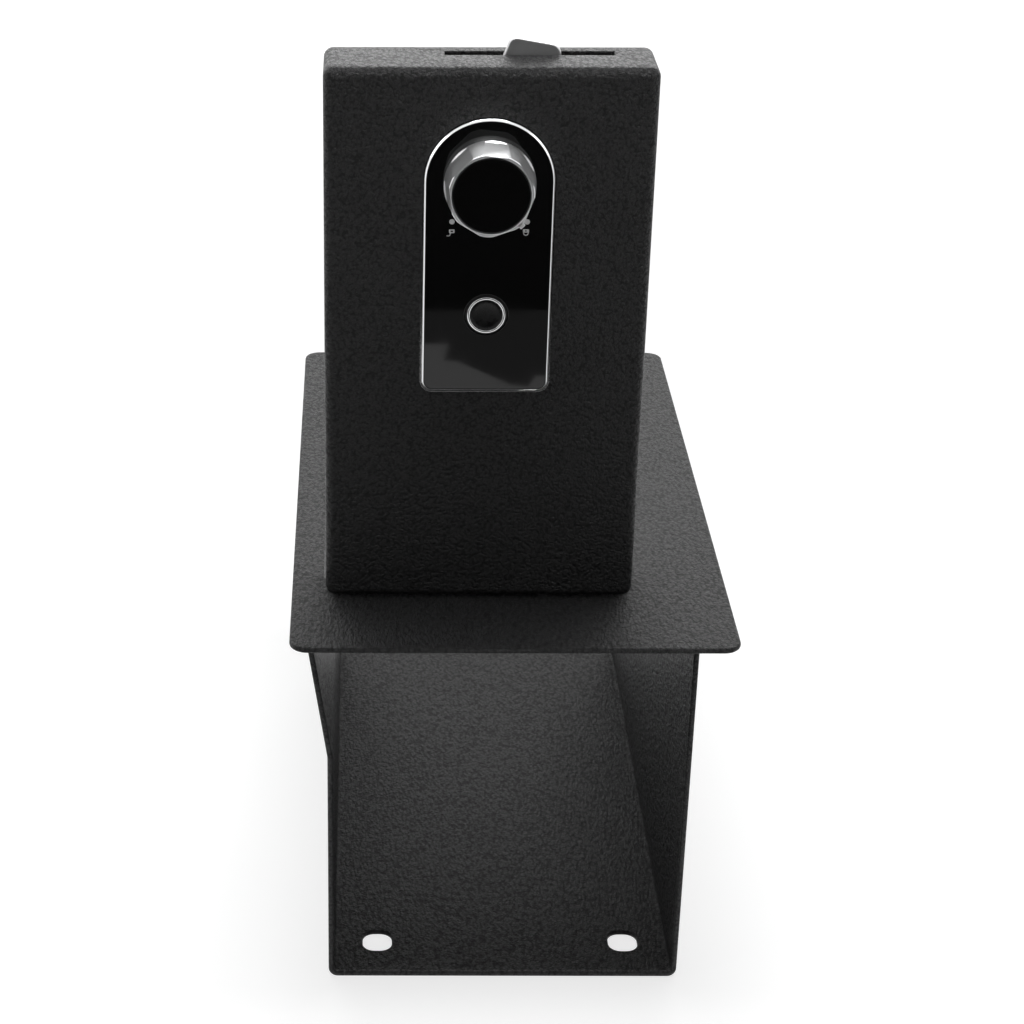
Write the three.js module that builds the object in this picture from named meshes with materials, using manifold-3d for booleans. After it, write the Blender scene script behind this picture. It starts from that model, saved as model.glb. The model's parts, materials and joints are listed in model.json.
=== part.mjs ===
// Console safe: a folded steel box that hangs in a vehicle console from its flange, with a
// pan-shaped lid on a hidden hinge and a fingerprint lock with a turning knob in the lid.
// Millimetres, +Z up, front towards -Y. Origin: middle of the overall box, at its underside.
// Rest state: lid open a quarter turn and standing on its stop, knob at the locked mark.
import * as THREE from 'three';
import { mergeVertices } from 'three/addons/utils/BufferGeometryUtils.js';
import Module from 'manifold-3d';

const wasm = await Module();
wasm.setup();

// Clearances
const fitGap = 0.3; // between pieces that are cut by, or seat on, each other
const lidSideGap = 1; // lid to the sides of the flange opening
const lidSweepGap = 1.1; // lid's far edge to the rear of the flange opening, as it swings
const knobGap = 0.5; // turning knob to the lock panel
const hingeFrontGap = 0.5; // hinge barrel to the front of the flange opening

// Flange plate
const flangeLength = 336;
const flangeSideReach = 16.4; // side edges outside the channel's lower walls
const flangeSheet = 2.6;
const flangeCornerRadius = 8;
const boxHeight = 191; // underside of the floor to the top of the flange

// Folded channel under the flange, open at both ends
const bodyWidth = 167.2; // outside the walls, below the flare
const bodySheet = 2.6;
const bodyBendRadius = 4.5; // outside of the bottom bends
const bodyFrontInset = 16; // behind the flange's front edge
const bodyRearInset = 5.4; // in front of the flange's rear edge
const flareHeight = 124; // bend where the left wall starts to lean out
const flareReach = 9.7; // how far the left wall leans out at the flange
const flareBendRadius = 10;

// Mounting slots in the floor
const slotWidth = 14.2;
const slotLength = 15.4;
const slotCornerRadius = 6;
const slotInset = 25.2; // from the channel's front edge to the slots' centres
const slotSideInset = 23.5; // from the channel's walls to the slots' centres

// Lid pan, upright at rest
const lidThickness = 33.4;
const lidSheet = 2.6;
const lidEdgeRadius = 4;
const lidCornerRadius = 4.2;
const lidFaceInset = 46.8; // lid's outer face behind the flange's front edge
const lidRearInset = 17.5; // closed lid's far end to the flange's rear edge
const lidLeftReach = 0.75; // lid's left face outside the channel's lower left wall
const lidRightInset = 28.25; // lid's right face inside the channel's right wall

// Hinge
const hingeDepth = 21.5; // axis behind the lid's outer face
const hingeSideInset = 16.85; // from the lid's side faces to the knuckles' ends
const barrelRadius = 2.6;
const hingePinRadius = 1.2;
const leafThickness = 1.4;
const fixedLeafReach = 16;
const movingLeafReach = 11.4;
const knuckleCount = 5;
const knuckleGap = 0.5;
const pinHeadRadius = 2;
const pinHeadLength = 1;

// Tabs that the closed lid rests on
const tabSheet = 1.5;
const tabLength = 12;
const tabReach = 7;
const tabInset = 12; // from the rear of the flange opening

// Lock panel on the lid
const knobInset = 48.6; // knob axis below the lid's far end
const panelWidth = 56.4;
const panelDrop = 96; // knob axis to the panel's lower edge
const panelCornerRadius = 4;
const frameWidth = 1.5;
const frameProud = 1.6;
const panelProud = 1;
const studRadius = 1.5;
const studOffset = 22.9;
const studLength = 8;
const studHeights = [8, -68]; // from the knob axis
const nutRadius = 3;
const nutThickness = 2.2;

// Fingerprint sensor
const sensorDrop = 59.8; // knob axis to the sensor's centre
const sensorRingRadius = 8.25;
const sensorWindowRadius = 7.1;
const sensorBodyRadius = 9.1;
const sensorRecessRadius = 9.4;
const sensorRingProud = 1.4;
const sensorSeat = 0.4; // how far the sensor's body stands in front of the lid
const sensorWindowProud = 1.1;

// Knob
const knobBaseRadius = 19.55;
const knobFrontRadius = 18;
const knobFlatFront = 17; // centre to a flat, at the knob's front
const knobFlatBase = 18.35; // centre to a flat, at the base rim
const knobFlatCount = 7;
const knobProud = 18.8; // front of the knob in front of the lid
const knobBaseRim = 2;
const knobEdge = 0.5;
const pointerAngle = -45; // degrees from the right, counter-clockwise
const pointerWidth = 2.6;
const pointerReach = 19.1;
const pointerLength = 3;
const capRadius = 16.4;
const capThickness = 1.6;
const capSkirt = 4;
const capSkirtWall = 1.2;
const knobFloor = 1.8;

// Key cylinder under the cap
const cylinderRadius = 8.5;
const cylinderInset = 3.2; // its face behind the knob's front
const plugRadius = 5;
const plugLength = 9;
const keywayWidth = 1.6;
const keywayHeight = 7;
const keywayDepth = 7;

// Spindle, bush and blocking disc
const spindleRadius = 4;
const spindleSquare = 5.6;
const bushRadius = 6;
const bushFlangeRadius = 8;
const bushFlange = 1.2;
const discRadius = 12;
const discDepth = 10; // disc's face behind the lid's outer face
const discThickness = 4;
const notchWidth = 4.6;
const notchDepth = 3;

// Blocking solenoid
const blockPinRadius = 1.8;
const blockPinLength = 20;
const blockPinGap = 0.6; // withdrawn pin to the disc
const solenoidWidth = 14;
const solenoidDepth = 12.6;
const solenoidLength = 16;
const solenoidDrop = 21; // knob axis to the solenoid's top

// Latch arm, drawn pointing up and turned to where it lies
const latchDepth = 22.5; // its face behind the lid's outer face
const latchSheet = 3;
const latchAngle = 20; // degrees clockwise, seen from the front
const latchHalfWidth = 12;
const latchHubRadius = 12;
const latchReachLow = 6.5; // tip's left corner past the lid's end, before it is turned
const latchReachHigh = 11.3; // tip's right corner, in the same way
const latchTipInset = 3.7;
const latchTipDrop = 3.6;
const washerRadius = 5.5;
const washerThickness = 0.6;
const camNutRadius = 4.6;
const camNutThickness = 1.8;
const camThreadRadius = 2.4;
const camThreadEnd = 28.7; // behind the lid's outer face

// Slot in the lid's end wall for the latch
const endSlotLeft = -19;
const endSlotRight = 52.4;
const endSlotFront = 21.3; // behind the lid's outer face
const endSlotRear = 26.9;

// Lock housing and board behind the panel
const housingWidth = 39;
const housingTop = 20; // above the knob axis
const housingDrop = 76; // below the knob axis
const housingDepth = 21.2; // its back behind the lid's outer face
const housingWall = 1.8;
const earReach = 6.8;
const earHeight = 8;
const earThickness = 1.8;
const boardWidth = 34;
const boardHeight = 28;
const boardThickness = 1.6;
const boardDepth = 14; // its face behind the lid's outer face
const boardPostRadius = 1.8;
const boardPostInset = 3;
const chipThickness = 1.6;

// Liner plate that closes the pan, and its posts and screws
const linerDepth = 29; // its inner face behind the lid's outer face
const linerSheet = 1.2;
const postRadius = 3.4;
const postSideInset = 9.85; // from the lid's side faces
const postInset = 10.3; // from the lid's end faces
const screwRadius = 1.5;
const screwHeadRadius = 3;
const screwHeadHeight = 1.3;
const screwLength = 8;

// Batteries, tray and cover
const cellCount = 4;
const cellRadius = 5.15;
const cellLength = 44.5;
const cellNubRadius = 1.9;
const cellNubLength = 0.8;
const trayWall = 1.4;
const trayRim = 3.2;
const trayRimThickness = 1.2;
const contactThickness = 0.6;
const contactWidth = 8;
const coverOverlap = 2.2;
const coverThickness = 1.4;
const coverCornerRadius = 2;
const coverPlug = 1.5;
const coverPlugWall = 1.2;
const ribCount = 4;
const ribPitch = 2.4;
const ribWidth = 1;
const ribHeight = 0.3;
const ribLength = 16;

// Lead from the tray to the housing
const leadRadius = 1.1;
const leadDepth = 12;
const leadRun = 24; // from the tray's upper end into the housing
const leadStraight = 3; // at each end
const leadSway = 2.5; // to the side, half way

// Roundness: segments of a full turn
const coarseTurn = 24;
const fineTurn = 56;
const smallTurn = 12;
const arcSteps = 4;

// Places that follow from the sizes above
const flangeWidth = bodyWidth + 2 * flangeSideReach;
const flangeFront = -flangeLength / 2;
const flangeUnderside = boxHeight - flangeSheet;
const bodyFront = flangeFront + bodyFrontInset;
const bodyRear = -flangeFront - bodyRearInset;
const lidFace = flangeFront + lidFaceInset;
const lidBottom = boxHeight + fitGap;
const lidWidth = bodyWidth + lidLeftReach - lidRightInset;
const lidOffset = -(lidLeftReach + lidRightInset) / 2; // lid's middle from the flange's middle
const hingeY = lidFace + hingeDepth;
const hingeZ = flangeUnderside;
const hingeLength = lidWidth - 2 * hingeSideInset;
const lidReach = -flangeFront - lidRearInset - hingeY; // hinge axis to the lid's far end
const lidLength = lidReach + hingeZ - lidBottom;
const knobHeight = lidLength - knobInset;
const lidDip = lidThickness - hingeDepth; // how deep the closed lid goes below the axis
const openingLeft = lidOffset - lidWidth / 2 - lidSideGap;
const openingRight = lidOffset + lidWidth / 2 + lidSideGap;
const openingFront = hingeY - barrelRadius - hingeFrontGap;
const openingRear = hingeY + Math.hypot(lidReach, lidDip) + lidSweepGap;
const panelRadius = panelWidth / 2;
const knobFront = -knobProud;
const knobBase = -panelProud - knobGap;
const trayInner = cellCount * 2 * cellRadius + (cellCount + 1) * fitGap;
const trayOuter = trayInner + 2 * trayWall;
const trayInnerLength = cellLength + 2 * (contactThickness + fitGap);
const trayOuterLength = trayInnerLength + 2 * trayWall;
const trayBack = linerDepth - 2 * cellRadius - 2 * fitGap - trayWall;

// Shapes in the plane

// Rectangle with rounded corners, from its low corner to its high corner.
function roundedRect([x0, y0], [x1, y1], radius) {
  const shape = new THREE.Shape();
  const quarter = Math.PI / 2;
  shape.absarc(x1 - radius, y0 + radius, radius, -quarter, 0, false);
  shape.absarc(x1 - radius, y1 - radius, radius, 0, quarter, false);
  shape.absarc(x0 + radius, y1 - radius, radius, quarter, 2 * quarter, false);
  shape.absarc(x0 + radius, y0 + radius, radius, 2 * quarter, 3 * quarter, false);
  shape.closePath();
  return shape;
}

function polygon(points) {
  return new THREE.Shape(points.map(([x, y]) => new THREE.Vector2(x, y)));
}

function disc(radius, x = 0, y = 0) {
  const shape = new THREE.Shape();
  shape.absarc(x, y, radius, 0, 2 * Math.PI, false);
  return shape;
}

function hexagon(radius) {
  const corners = Array.from({ length: 6 }, (_, i) => (i * Math.PI) / 3);
  return polygon(corners.map((a) => [radius * Math.cos(a), radius * Math.sin(a)]));
}

// Outline of the lock panel: straight sides, a round arch on top, small corners below.
// The knob axis is at its origin; inset shrinks it all round.
function archOutline(inset) {
  const r = panelRadius - inset;
  const corner = panelCornerRadius - inset;
  const bottom = -panelDrop + inset;
  const shape = new THREE.Shape();
  shape.absarc(r - corner, bottom + corner, corner, -Math.PI / 2, 0, false);
  shape.absarc(0, 0, r, 0, Math.PI, false);
  shape.absarc(-r + corner, bottom + corner, corner, Math.PI, 1.5 * Math.PI, false);
  shape.closePath();
  return shape;
}

// Section of a folded sheet: a middle line with round bends, given its thickness.
function foldedSection(corners, radii, sheet) {
  const line = [new THREE.Vector2(...corners[0])];
  for (let i = 1; i < corners.length - 1; i += 1) {
    const before = new THREE.Vector2(...corners[i - 1]);
    const at = new THREE.Vector2(...corners[i]);
    const after = new THREE.Vector2(...corners[i + 1]);
    const into = at.clone().sub(before).normalize();
    const out = after.clone().sub(at).normalize();
    const turn = Math.atan2(into.cross(out), into.dot(out));
    const trim = radii[i - 1] * Math.tan(Math.abs(turn) / 2);
    const start = at.clone().addScaledVector(into, -trim);
    const side = Math.sign(turn);
    const centre = new THREE.Vector2(-into.y, into.x).multiplyScalar(side * radii[i - 1]).add(start);
    for (let step = 0; step <= arcSteps; step += 1) {
      line.push(start.clone().rotateAround(centre, (turn * step) / arcSteps));
    }
  }
  line.push(new THREE.Vector2(...corners[corners.length - 1]));
  const offset = (distance) => line.map((point, i) => {
    const before = line[Math.max(i - 1, 0)];
    const after = line[Math.min(i + 1, line.length - 1)];
    const along = after.clone().sub(before).normalize();
    return new THREE.Vector2(-along.y, along.x).multiplyScalar(distance).add(point);
  });
  return new THREE.Shape([...offset(-sheet / 2), ...offset(sheet / 2).reverse()]);
}

// Solids

// A closed mesh as a solid that can be joined and cut. Its corners are rounded to a ten
// thousandth of a millimetre, so that faces that meet lie in the same plane.
function solid(geometry) {
  const bare = geometry.clone();
  bare.deleteAttribute('normal');
  bare.deleteAttribute('uv');
  const merged = mergeVertices(bare, 1e-4);
  const vertProperties = merged.attributes.position.array.map((value) => Math.round(value * 1e4) / 1e4);
  const triVerts = new Uint32Array(merged.index.array);
  return new wasm.Manifold(new wasm.Mesh({ numProp: 3, vertProperties, triVerts }));
}

// Extrusions with exact axes: the shape's x and y become the two axes that are left.
const axisMaps = {
  x: new THREE.Matrix4().set(0, 0, 1, 0, 1, 0, 0, 0, 0, 1, 0, 0, 0, 0, 0, 1),
  y: new THREE.Matrix4().set(1, 0, 0, 0, 0, 0, -1, 0, 0, 1, 0, 0, 0, 0, 0, 1),
  z: new THREE.Matrix4(),
};

function prism(axis, shape, from, to, turnSteps = coarseTurn, bevel = null) {
  const edge = bevel ?? 0;
  const options = { depth: to - from - 2 * edge, curveSegments: turnSteps / 4, bevelEnabled: false };
  if (bevel) {
    const bevelSegments = arcSteps - 1;
    Object.assign(options, { bevelEnabled: true, bevelThickness: edge, bevelSize: edge });
    Object.assign(options, { bevelOffset: -edge, bevelSegments });
  }
  const geometry = new THREE.ExtrudeGeometry(shape, options);
  geometry.translate(0, 0, edge);
  geometry.applyMatrix4(axisMaps[axis]);
  const shift = { x: [from, 0, 0], y: [0, to, 0], z: [0, 0, from] }[axis];
  return solid(geometry.translate(...shift));
}

function block(low, high) {
  const size = high.map((value, i) => value - low[i]);
  const geometry = new THREE.BoxGeometry(...size);
  return solid(geometry.translate(...low.map((value, i) => value + size[i] / 2)));
}

// Block that reaches equally far to the left and right.
function across(halfWidth, front, back, low, high) {
  return block([-halfWidth, front, low], [halfWidth, back, high]);
}

// Round piece about the Y axis from pairs of radius and depth, front to back.
function turned(profile, turnSteps = coarseTurn) {
  const points = profile.map(([radius, depth]) => new THREE.Vector2(radius, depth));
  return solid(new THREE.LatheGeometry(points, turnSteps));
}

function rod(radius, from, to, turnSteps = coarseTurn) {
  return turned([[0, from], [radius, from], [radius, to], [0, to]], turnSteps);
}

function rodAlong(axis, radius, from, to) {
  return prism(axis, disc(radius), from, to);
}

function join(solids) {
  return solids.reduce((whole, next) => whole.add(next));
}

function cut(whole, tools) {
  return tools.reduce((rest, tool) => rest.subtract(tool), whole);
}

// Scene graph

const finishes = {
  coat: { color: 0x1d1d1f, roughness: 0.62, metalness: 0.1 },
  steel: { color: 0x9a9c9f, roughness: 0.38, metalness: 1 },
  chrome: { color: 0xd9dbde, roughness: 0.08, metalness: 1 },
  brass: { color: 0xb9974f, roughness: 0.3, metalness: 1 },
  gloss: { color: 0x060607, roughness: 0.08, metalness: 0 },
  plastic: { color: 0x1a1b1c, roughness: 0.5, metalness: 0 },
  window: { color: 0x08080a, roughness: 0.2, metalness: 0 },
  board: { color: 0x1f5a35, roughness: 0.45, metalness: 0 },
  coil: { color: 0x8a4b24, roughness: 0.4, metalness: 0.6 },
  cell: { color: 0x2b4a70, roughness: 0.35, metalness: 0.3 },
  wire: { color: 0x7a1614, roughness: 0.5, metalness: 0 },
};

const group = new THREE.Group();
const lid = new THREE.Group();
lid.position.set(lidOffset, lidFace, lidBottom);
group.add(lid);
const lock = new THREE.Group();
lock.position.set(0, 0, knobHeight);
lid.add(lock);

function addPiece(parent, name, shape, finish) {
  const { vertProperties, triVerts } = shape.getMesh();
  const geometry = new THREE.BufferGeometry();
  geometry.setAttribute('position', new THREE.BufferAttribute(new Float32Array(vertProperties), 3));
  geometry.setIndex(new THREE.BufferAttribute(new Uint32Array(triVerts), 1));
  geometry.computeVertexNormals();
  const mesh = new THREE.Mesh(geometry, new THREE.MeshStandardMaterial(finishes[finish]));
  mesh.name = name;
  parent.add(mesh);
}

// Flange with the lid's opening
function topFlange() {
  const half = flangeWidth / 2;
  const outline = roundedRect([-half, flangeFront], [half, -flangeFront], flangeCornerRadius);
  const plate = prism('z', outline, flangeUnderside, boxHeight);
  const openingRadius = lidCornerRadius - lidSideGap;
  const opening = roundedRect([openingLeft, openingFront], [openingRight, openingRear], openingRadius);
  return plate.subtract(prism('z', opening, 0, boxHeight + flangeSheet));
}

// Middle line of the channel, from the flared left wall's top to the right wall's top
const flareLean = flareReach / (flangeUnderside - flareHeight);
function channelSection(inset, top) {
  const middle = bodySheet / 2 + inset;
  const left = -bodyWidth / 2 + middle;
  const right = bodyWidth / 2 - middle;
  const rise = top - flareHeight;
  const bendRadius = bodyBendRadius - middle;
  const flareRadius = flareBendRadius - middle;
  const corners = [[left - rise * flareLean, top], [left, flareHeight], [left, middle]];
  corners.push([right, middle], [right, top]);
  return { corners, radii: [flareRadius, bendRadius, bendRadius] };
}

function bodyChannel() {
  const { corners, radii } = channelSection(0, boxHeight);
  const sheet = prism('y', foldedSection(corners, radii, bodySheet), bodyFront, bodyRear);
  const above = across(flangeWidth, flangeFront, -flangeFront, flangeUnderside, 2 * boxHeight);
  const slots = [-1, 1].map((side) => {
    const x = side * (bodyWidth / 2 - slotSideInset);
    const y = bodyFront + slotInset;
    const [halfWidth, halfLength] = [slotWidth / 2, slotLength / 2];
    const low = [x - halfWidth, y - halfLength];
    const high = [x + halfWidth, y + halfLength];
    return prism('z', roundedRect(low, high, slotCornerRadius), -bodySheet, 2 * bodySheet);
  });
  return cut(sheet, [above, ...slots]);
}

// Hinge: knuckles along X, alternating between the two leaves
const knuckleLength = (hingeLength - (knuckleCount - 1) * knuckleGap) / knuckleCount;
const hingeStart = lidOffset - hingeLength / 2;

function hingeLeaf(first, leafLow, leafHigh, near, far) {
  const plate = block([hingeStart, near, leafLow], [hingeStart + hingeLength, far, leafHigh]);
  const pieces = [plate];
  for (let i = first; i < knuckleCount; i += 2) {
    const from = hingeStart + i * (knuckleLength + knuckleGap);
    const to = from + knuckleLength;
    const barrel = rodAlong('x', barrelRadius, from, to).translate(0, hingeY, hingeZ);
    const web = block([from, Math.min(near, hingeY), leafLow], [to, Math.max(near, hingeY), leafHigh]);
    pieces.push(barrel, web);
  }
  const bore = rodAlong('x', hingePinRadius + fitGap, hingeStart - 1, hingeStart + hingeLength + 1);
  return join(pieces).subtract(bore.translate(0, hingeY, hingeZ));
}

function fixedLeaf() {
  const near = hingeY - barrelRadius - fitGap;
  const plate = hingeLeaf(0, hingeZ - leafThickness, hingeZ, near - fixedLeafReach, near);
  const webs = [];
  for (let i = 0; i < knuckleCount; i += 2) {
    const from = hingeStart + i * (knuckleLength + knuckleGap);
    const inner = hingeY - hingePinRadius - fitGap;
    webs.push(block([from, near, hingeZ - leafThickness], [from + knuckleLength, inner, hingeZ]));
  }
  return join([plate, ...webs]);
}

function movingLeaf() {
  const near = hingeY + barrelRadius + fitGap;
  const high = hingeZ + barrelRadius;
  return hingeLeaf(1, high - leafThickness, high, near, hingeY + movingLeafReach);
}

function hingePin() {
  const left = hingeStart - fitGap - pinHeadLength;
  const right = hingeStart + hingeLength + fitGap;
  const shank = rodAlong('x', hingePinRadius, left, right + pinHeadLength);
  const heads = [left, right].map((from) => rodAlong('x', pinHeadRadius, from, from + pinHeadLength));
  return join([shank, ...heads]).translate(0, hingeY, hingeZ);
}

// Angle tab under the flange, beside a rear corner of the opening; side is -1 left or 1 right
function lidRestTab(edge, side) {
  const top = flangeUnderside - lidDip - fitGap;
  const rear = openingRear - tabInset;
  const inside = edge - side * (tabReach - tabSheet);
  const outside = edge + side * tabSheet;
  const outline = [[edge, flangeUnderside], [outside, flangeUnderside], [outside, top - tabSheet]];
  outline.push([inside, top - tabSheet], [inside, top], [edge, top]);
  return prism('y', polygon(outline), rear - tabLength, rear);
}

addPiece(group, 'top_flange', topFlange(), 'coat');
addPiece(group, 'body_channel', bodyChannel(), 'coat');
addPiece(group, 'hinge_leaf_fixed', fixedLeaf(), 'steel');
addPiece(group, 'hinge_leaf_moving', movingLeaf(), 'steel');
addPiece(group, 'hinge_pin', hingePin(), 'steel');
addPiece(group, 'lid_rest_tab_left', lidRestTab(openingLeft - fitGap, -1), 'coat');
addPiece(group, 'lid_rest_tab_right', lidRestTab(openingRight + fitGap, 1), 'coat');

// Lid pan. From here on, pieces are drawn in the lid's own frame: x from the lid's middle,
// y behind its outer face, z above its lower edge.
const halfLid = lidWidth / 2;

function slabAcross(halfWidth, low, high, corner, from, to, edge) {
  const outline = roundedRect([-halfWidth, low], [halfWidth, high], corner);
  return prism('y', outline, from, to, coarseTurn, edge);
}

function lidShell() {
  const past = 2 * lidEdgeRadius;
  const back = lidThickness + past;
  const innerTop = lidLength - lidSheet;
  const outside = slabAcross(halfLid, 0, lidLength, lidCornerRadius, 0, back, lidEdgeRadius);
  const innerEdge = lidEdgeRadius - lidSheet;
  const innerCorner = lidCornerRadius - lidSheet;
  const inside = slabAcross(halfLid - lidSheet, lidSheet, innerTop, innerCorner, lidSheet, back, innerEdge);
  const behind = across(lidWidth, lidThickness, back + past, -past, lidLength + past);
  const slotLow = [endSlotLeft, endSlotFront, innerTop - lidSheet];
  const endSlot = block(slotLow, [endSlotRight, endSlotRear, lidLength + past]);
  const holes = [[0, knobHeight, bushRadius], [0, knobHeight - sensorDrop, sensorBodyRadius]];
  holes.push(...studPlaces().map(([x, z]) => [x, knobHeight + z, studRadius]));
  const drills = holes.map(([x, z, radius]) => rod(radius + fitGap, -past, past).translate(x, 0, z));
  return cut(outside, [behind, inside, endSlot, ...drills]);
}

function studPlaces() {
  return studHeights.flatMap((z) => [-1, 1].map((side) => [side * studOffset, z]));
}

addPiece(lid, 'lid_shell', lidShell(), 'coat');

// Lock panel. From here on, z is counted from the knob axis.

function lockFrame() {
  const ring = prism('y', archOutline(0), -frameProud, 0, fineTurn);
  return ring.subtract(prism('y', archOutline(frameWidth), -2 * frameProud, frameProud, fineTurn));
}

function lockPanel() {
  const plate = prism('y', archOutline(frameWidth + fitGap / 2), -panelProud, 0, fineTurn);
  const stud = rod(studRadius, -panelProud / 2, studLength, smallTurn);
  const studs = studPlaces().map(([x, z]) => stud.translate(x, 0, z));
  const spindleHole = rod(bushRadius + fitGap, -studLength, studLength);
  const sensorHole = rod(sensorRecessRadius, -studLength, studLength, fineTurn);
  return cut(join([plate, ...studs]), [spindleHole, sensorHole.translate(0, 0, -sensorDrop)]);
}

function panelNut([x, z]) {
  const from = lidSheet + earThickness;
  const nut = prism('y', hexagon(nutRadius), from, from + nutThickness);
  return nut.subtract(rod(studRadius + fitGap, 0, 2 * studLength, smallTurn)).translate(x, 0, z);
}

function spindleBush() {
  const front = -panelProud + fitGap;
  const back = lidSheet + fitGap + bushFlange;
  const hole = spindleRadius + fitGap;
  const body = rod(bushRadius, front, back).add(rod(bushFlangeRadius, back - bushFlange, back));
  return body.subtract(rod(hole, 2 * front, 2 * back));
}

addPiece(lock, 'lock_frame', lockFrame(), 'chrome');
addPiece(lock, 'lock_panel', lockPanel(), 'gloss');
studPlaces().forEach((place, i) => addPiece(lock, `panel_nut_${i + 1}`, panelNut(place), 'steel'));
addPiece(lock, 'spindle_bush', spindleBush(), 'brass');

// Fingerprint sensor: chrome ring and window on a round body that goes through the lid

function sensorRing() {
  const outside = rod(sensorRingRadius, -sensorRingProud, -sensorSeat, fineTurn);
  return outside.subtract(rod(sensorWindowRadius, -2 * sensorRingProud, 0, fineTurn));
}

const windowRadius = sensorWindowRadius - fitGap / 2;
const sensorParts = {
  sensor_ring: [sensorRing(), 'chrome'],
  sensor_window: [rod(windowRadius, -sensorWindowProud, -sensorSeat, fineTurn), 'window'],
  sensor_module: [rod(sensorBodyRadius, -sensorSeat, boardDepth - fitGap), 'plastic'],
};
for (const [name, [shape, finish]] of Object.entries(sensorParts)) {
  addPiece(lock, name, shape.translate(0, 0, -sensorDrop), finish);
}

// Lock housing: a tray against the inside of the lid, with ears on the panel's studs

function lockHousing() {
  const half = housingWidth / 2;
  const back = housingDepth - housingWall;
  const [low, high] = [-housingDrop + housingWall, housingTop - housingWall];
  const shell = across(half, lidSheet, housingDepth, -housingDrop, housingTop);
  const hollow = across(half - housingWall, 0, back, low, high);
  const ears = studHeights.map((z) => (
    across(half + earReach, lidSheet, lidSheet + earThickness, z - earHeight / 2, z + earHeight / 2)
  ));
  const boardLow = -sensorDrop - boardHeight / 2 + boardPostInset;
  const post = rod(boardPostRadius, boardDepth + boardThickness, back + housingWall / 2, smallTurn);
  const posts = [-1, 1].flatMap((side) => [0, boardHeight - 2 * boardPostInset].map((up) => (
    post.translate(side * (boardWidth / 2 - boardPostInset), 0, boardLow + up)
  )));
  const studHole = rod(studRadius + fitGap, 0, studLength, smallTurn);
  const studHoles = studPlaces().map(([x, z]) => studHole.translate(x, 0, z));
  const spindleHole = rod(spindleRadius + fitGap, 0, 2 * housingDepth);
  const leadHole = rodAlong('z', leadRadius + fitGap, -2 * housingDrop, low + housingWall);
  const body = join([cut(join([shell, ...ears]), [hollow]), ...posts]);
  return cut(body, [...studHoles, spindleHole, leadHole.translate(0, leadDepth, 0)]);
}

// Chips on the board: middle x, height above the board's lower edge, width and height
const chips = [[0, 20, 8, 8], [8.5, 10, 5, 5], [-9, 11, 4, 5]];

function circuitBoard() {
  const low = -sensorDrop - boardHeight / 2;
  const back = boardDepth + boardThickness;
  const plate = across(boardWidth / 2, boardDepth, back, low, low + boardHeight);
  const solids = chips.map(([x, z, width, height]) => (
    across(width / 2, boardDepth + boardThickness / 2, back + chipThickness, z - height / 2, z + height / 2)
      .translate(x, 0, low)
  ));
  return join([plate, ...solids]);
}

addPiece(lock, 'lock_housing', lockHousing(), 'plastic');
addPiece(lock, 'circuit_board', circuitBoard(), 'board');

// Solenoid and the pin that blocks the disc

const pinTop = -discRadius - blockPinGap;
function lockSolenoid() {
  const middle = discDepth + discThickness / 2;
  const back = housingDepth - housingWall - fitGap;
  const low = -solenoidDrop - solenoidLength;
  const coil = across(solenoidWidth / 2, middle - solenoidDepth / 2, back, low, -solenoidDrop);
  const bore = rodAlong('z', blockPinRadius + fitGap, pinTop - blockPinLength - fitGap, 0);
  return coil.subtract(bore.translate(0, middle, 0));
}

function blockingPin() {
  const middle = discDepth + discThickness / 2;
  return rodAlong('z', blockPinRadius, pinTop - blockPinLength, pinTop).translate(0, middle, 0);
}

addPiece(lock, 'lock_solenoid', lockSolenoid(), 'coil');
addPiece(lock, 'blocking_pin', blockingPin(), 'steel');

// Knob: a cone with flats ground on it down to its base rim, a seat for the cap and a bore
// for the key cylinder

function knobBarrel() {
  const back = knobBase - knobBaseRim;
  const edge = knobFront + knobEdge;
  const outline = [[0, knobFront], [knobFrontRadius - knobEdge, knobFront], [knobFrontRadius, edge]];
  outline.push([knobBaseRadius, back], [knobBaseRadius, knobBase], [0, knobBase]);
  const cone = turned(outline, fineTurn);
  const lean = (knobFlatBase - knobFlatFront) / (back - knobFront);
  const step = 360 / knobFlatCount;
  const beyond = [2 * knobBaseRadius, knobFront - 1];
  const side = [[knobFlatFront - lean, knobFront - 1], beyond, [beyond[0], back], [knobFlatBase, back]];
  const waste = prism('z', polygon(side), -knobBaseRadius, knobBaseRadius);
  const flats = Array.from({ length: knobFlatCount }, (_, i) => (
    waste.rotate(0, -(pointerAngle + step * (i + 0.5)), 0)
  ));
  const past = knobFront - knobEdge;
  const seatEnd = knobFront + capThickness + fitGap;
  const seat = rod(capRadius + fitGap / 2, past, seatEnd, fineTurn);
  const skirtRoom = rod(capRadius - capSkirtWall / 2, past, seatEnd + capSkirt + fitGap, fineTurn);
  const cylinderRoom = rod(cylinderRadius + fitGap, past, knobBase - knobFloor);
  const spindleRoom = rod(spindleRadius + fitGap, past, 0);
  const half = pointerWidth / 2;
  const pointer = block([0, knobFront, -half], [pointerReach, knobFront + pointerLength, half]);
  const body = cut(cone, flats).add(pointer.rotate(0, -pointerAngle, 0));
  return cut(body, [seat, skirtRoom, cylinderRoom, spindleRoom]);
}

function keyCylinder() {
  const front = knobFront + cylinderInset;
  const shell = rod(cylinderRadius, front, knobBase - knobFloor - fitGap);
  return shell.subtract(rod(plugRadius + fitGap, 2 * knobFront, front + plugLength + fitGap));
}

function keyPlug() {
  const front = knobFront + cylinderInset;
  const keyway = [[-keywayWidth / 2, 2 * knobFront, -keywayHeight / 2]];
  keyway.push([keywayWidth / 2, front + keywayDepth, keywayHeight / 2]);
  return rod(plugRadius, front, front + plugLength).subtract(block(...keyway));
}

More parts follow.
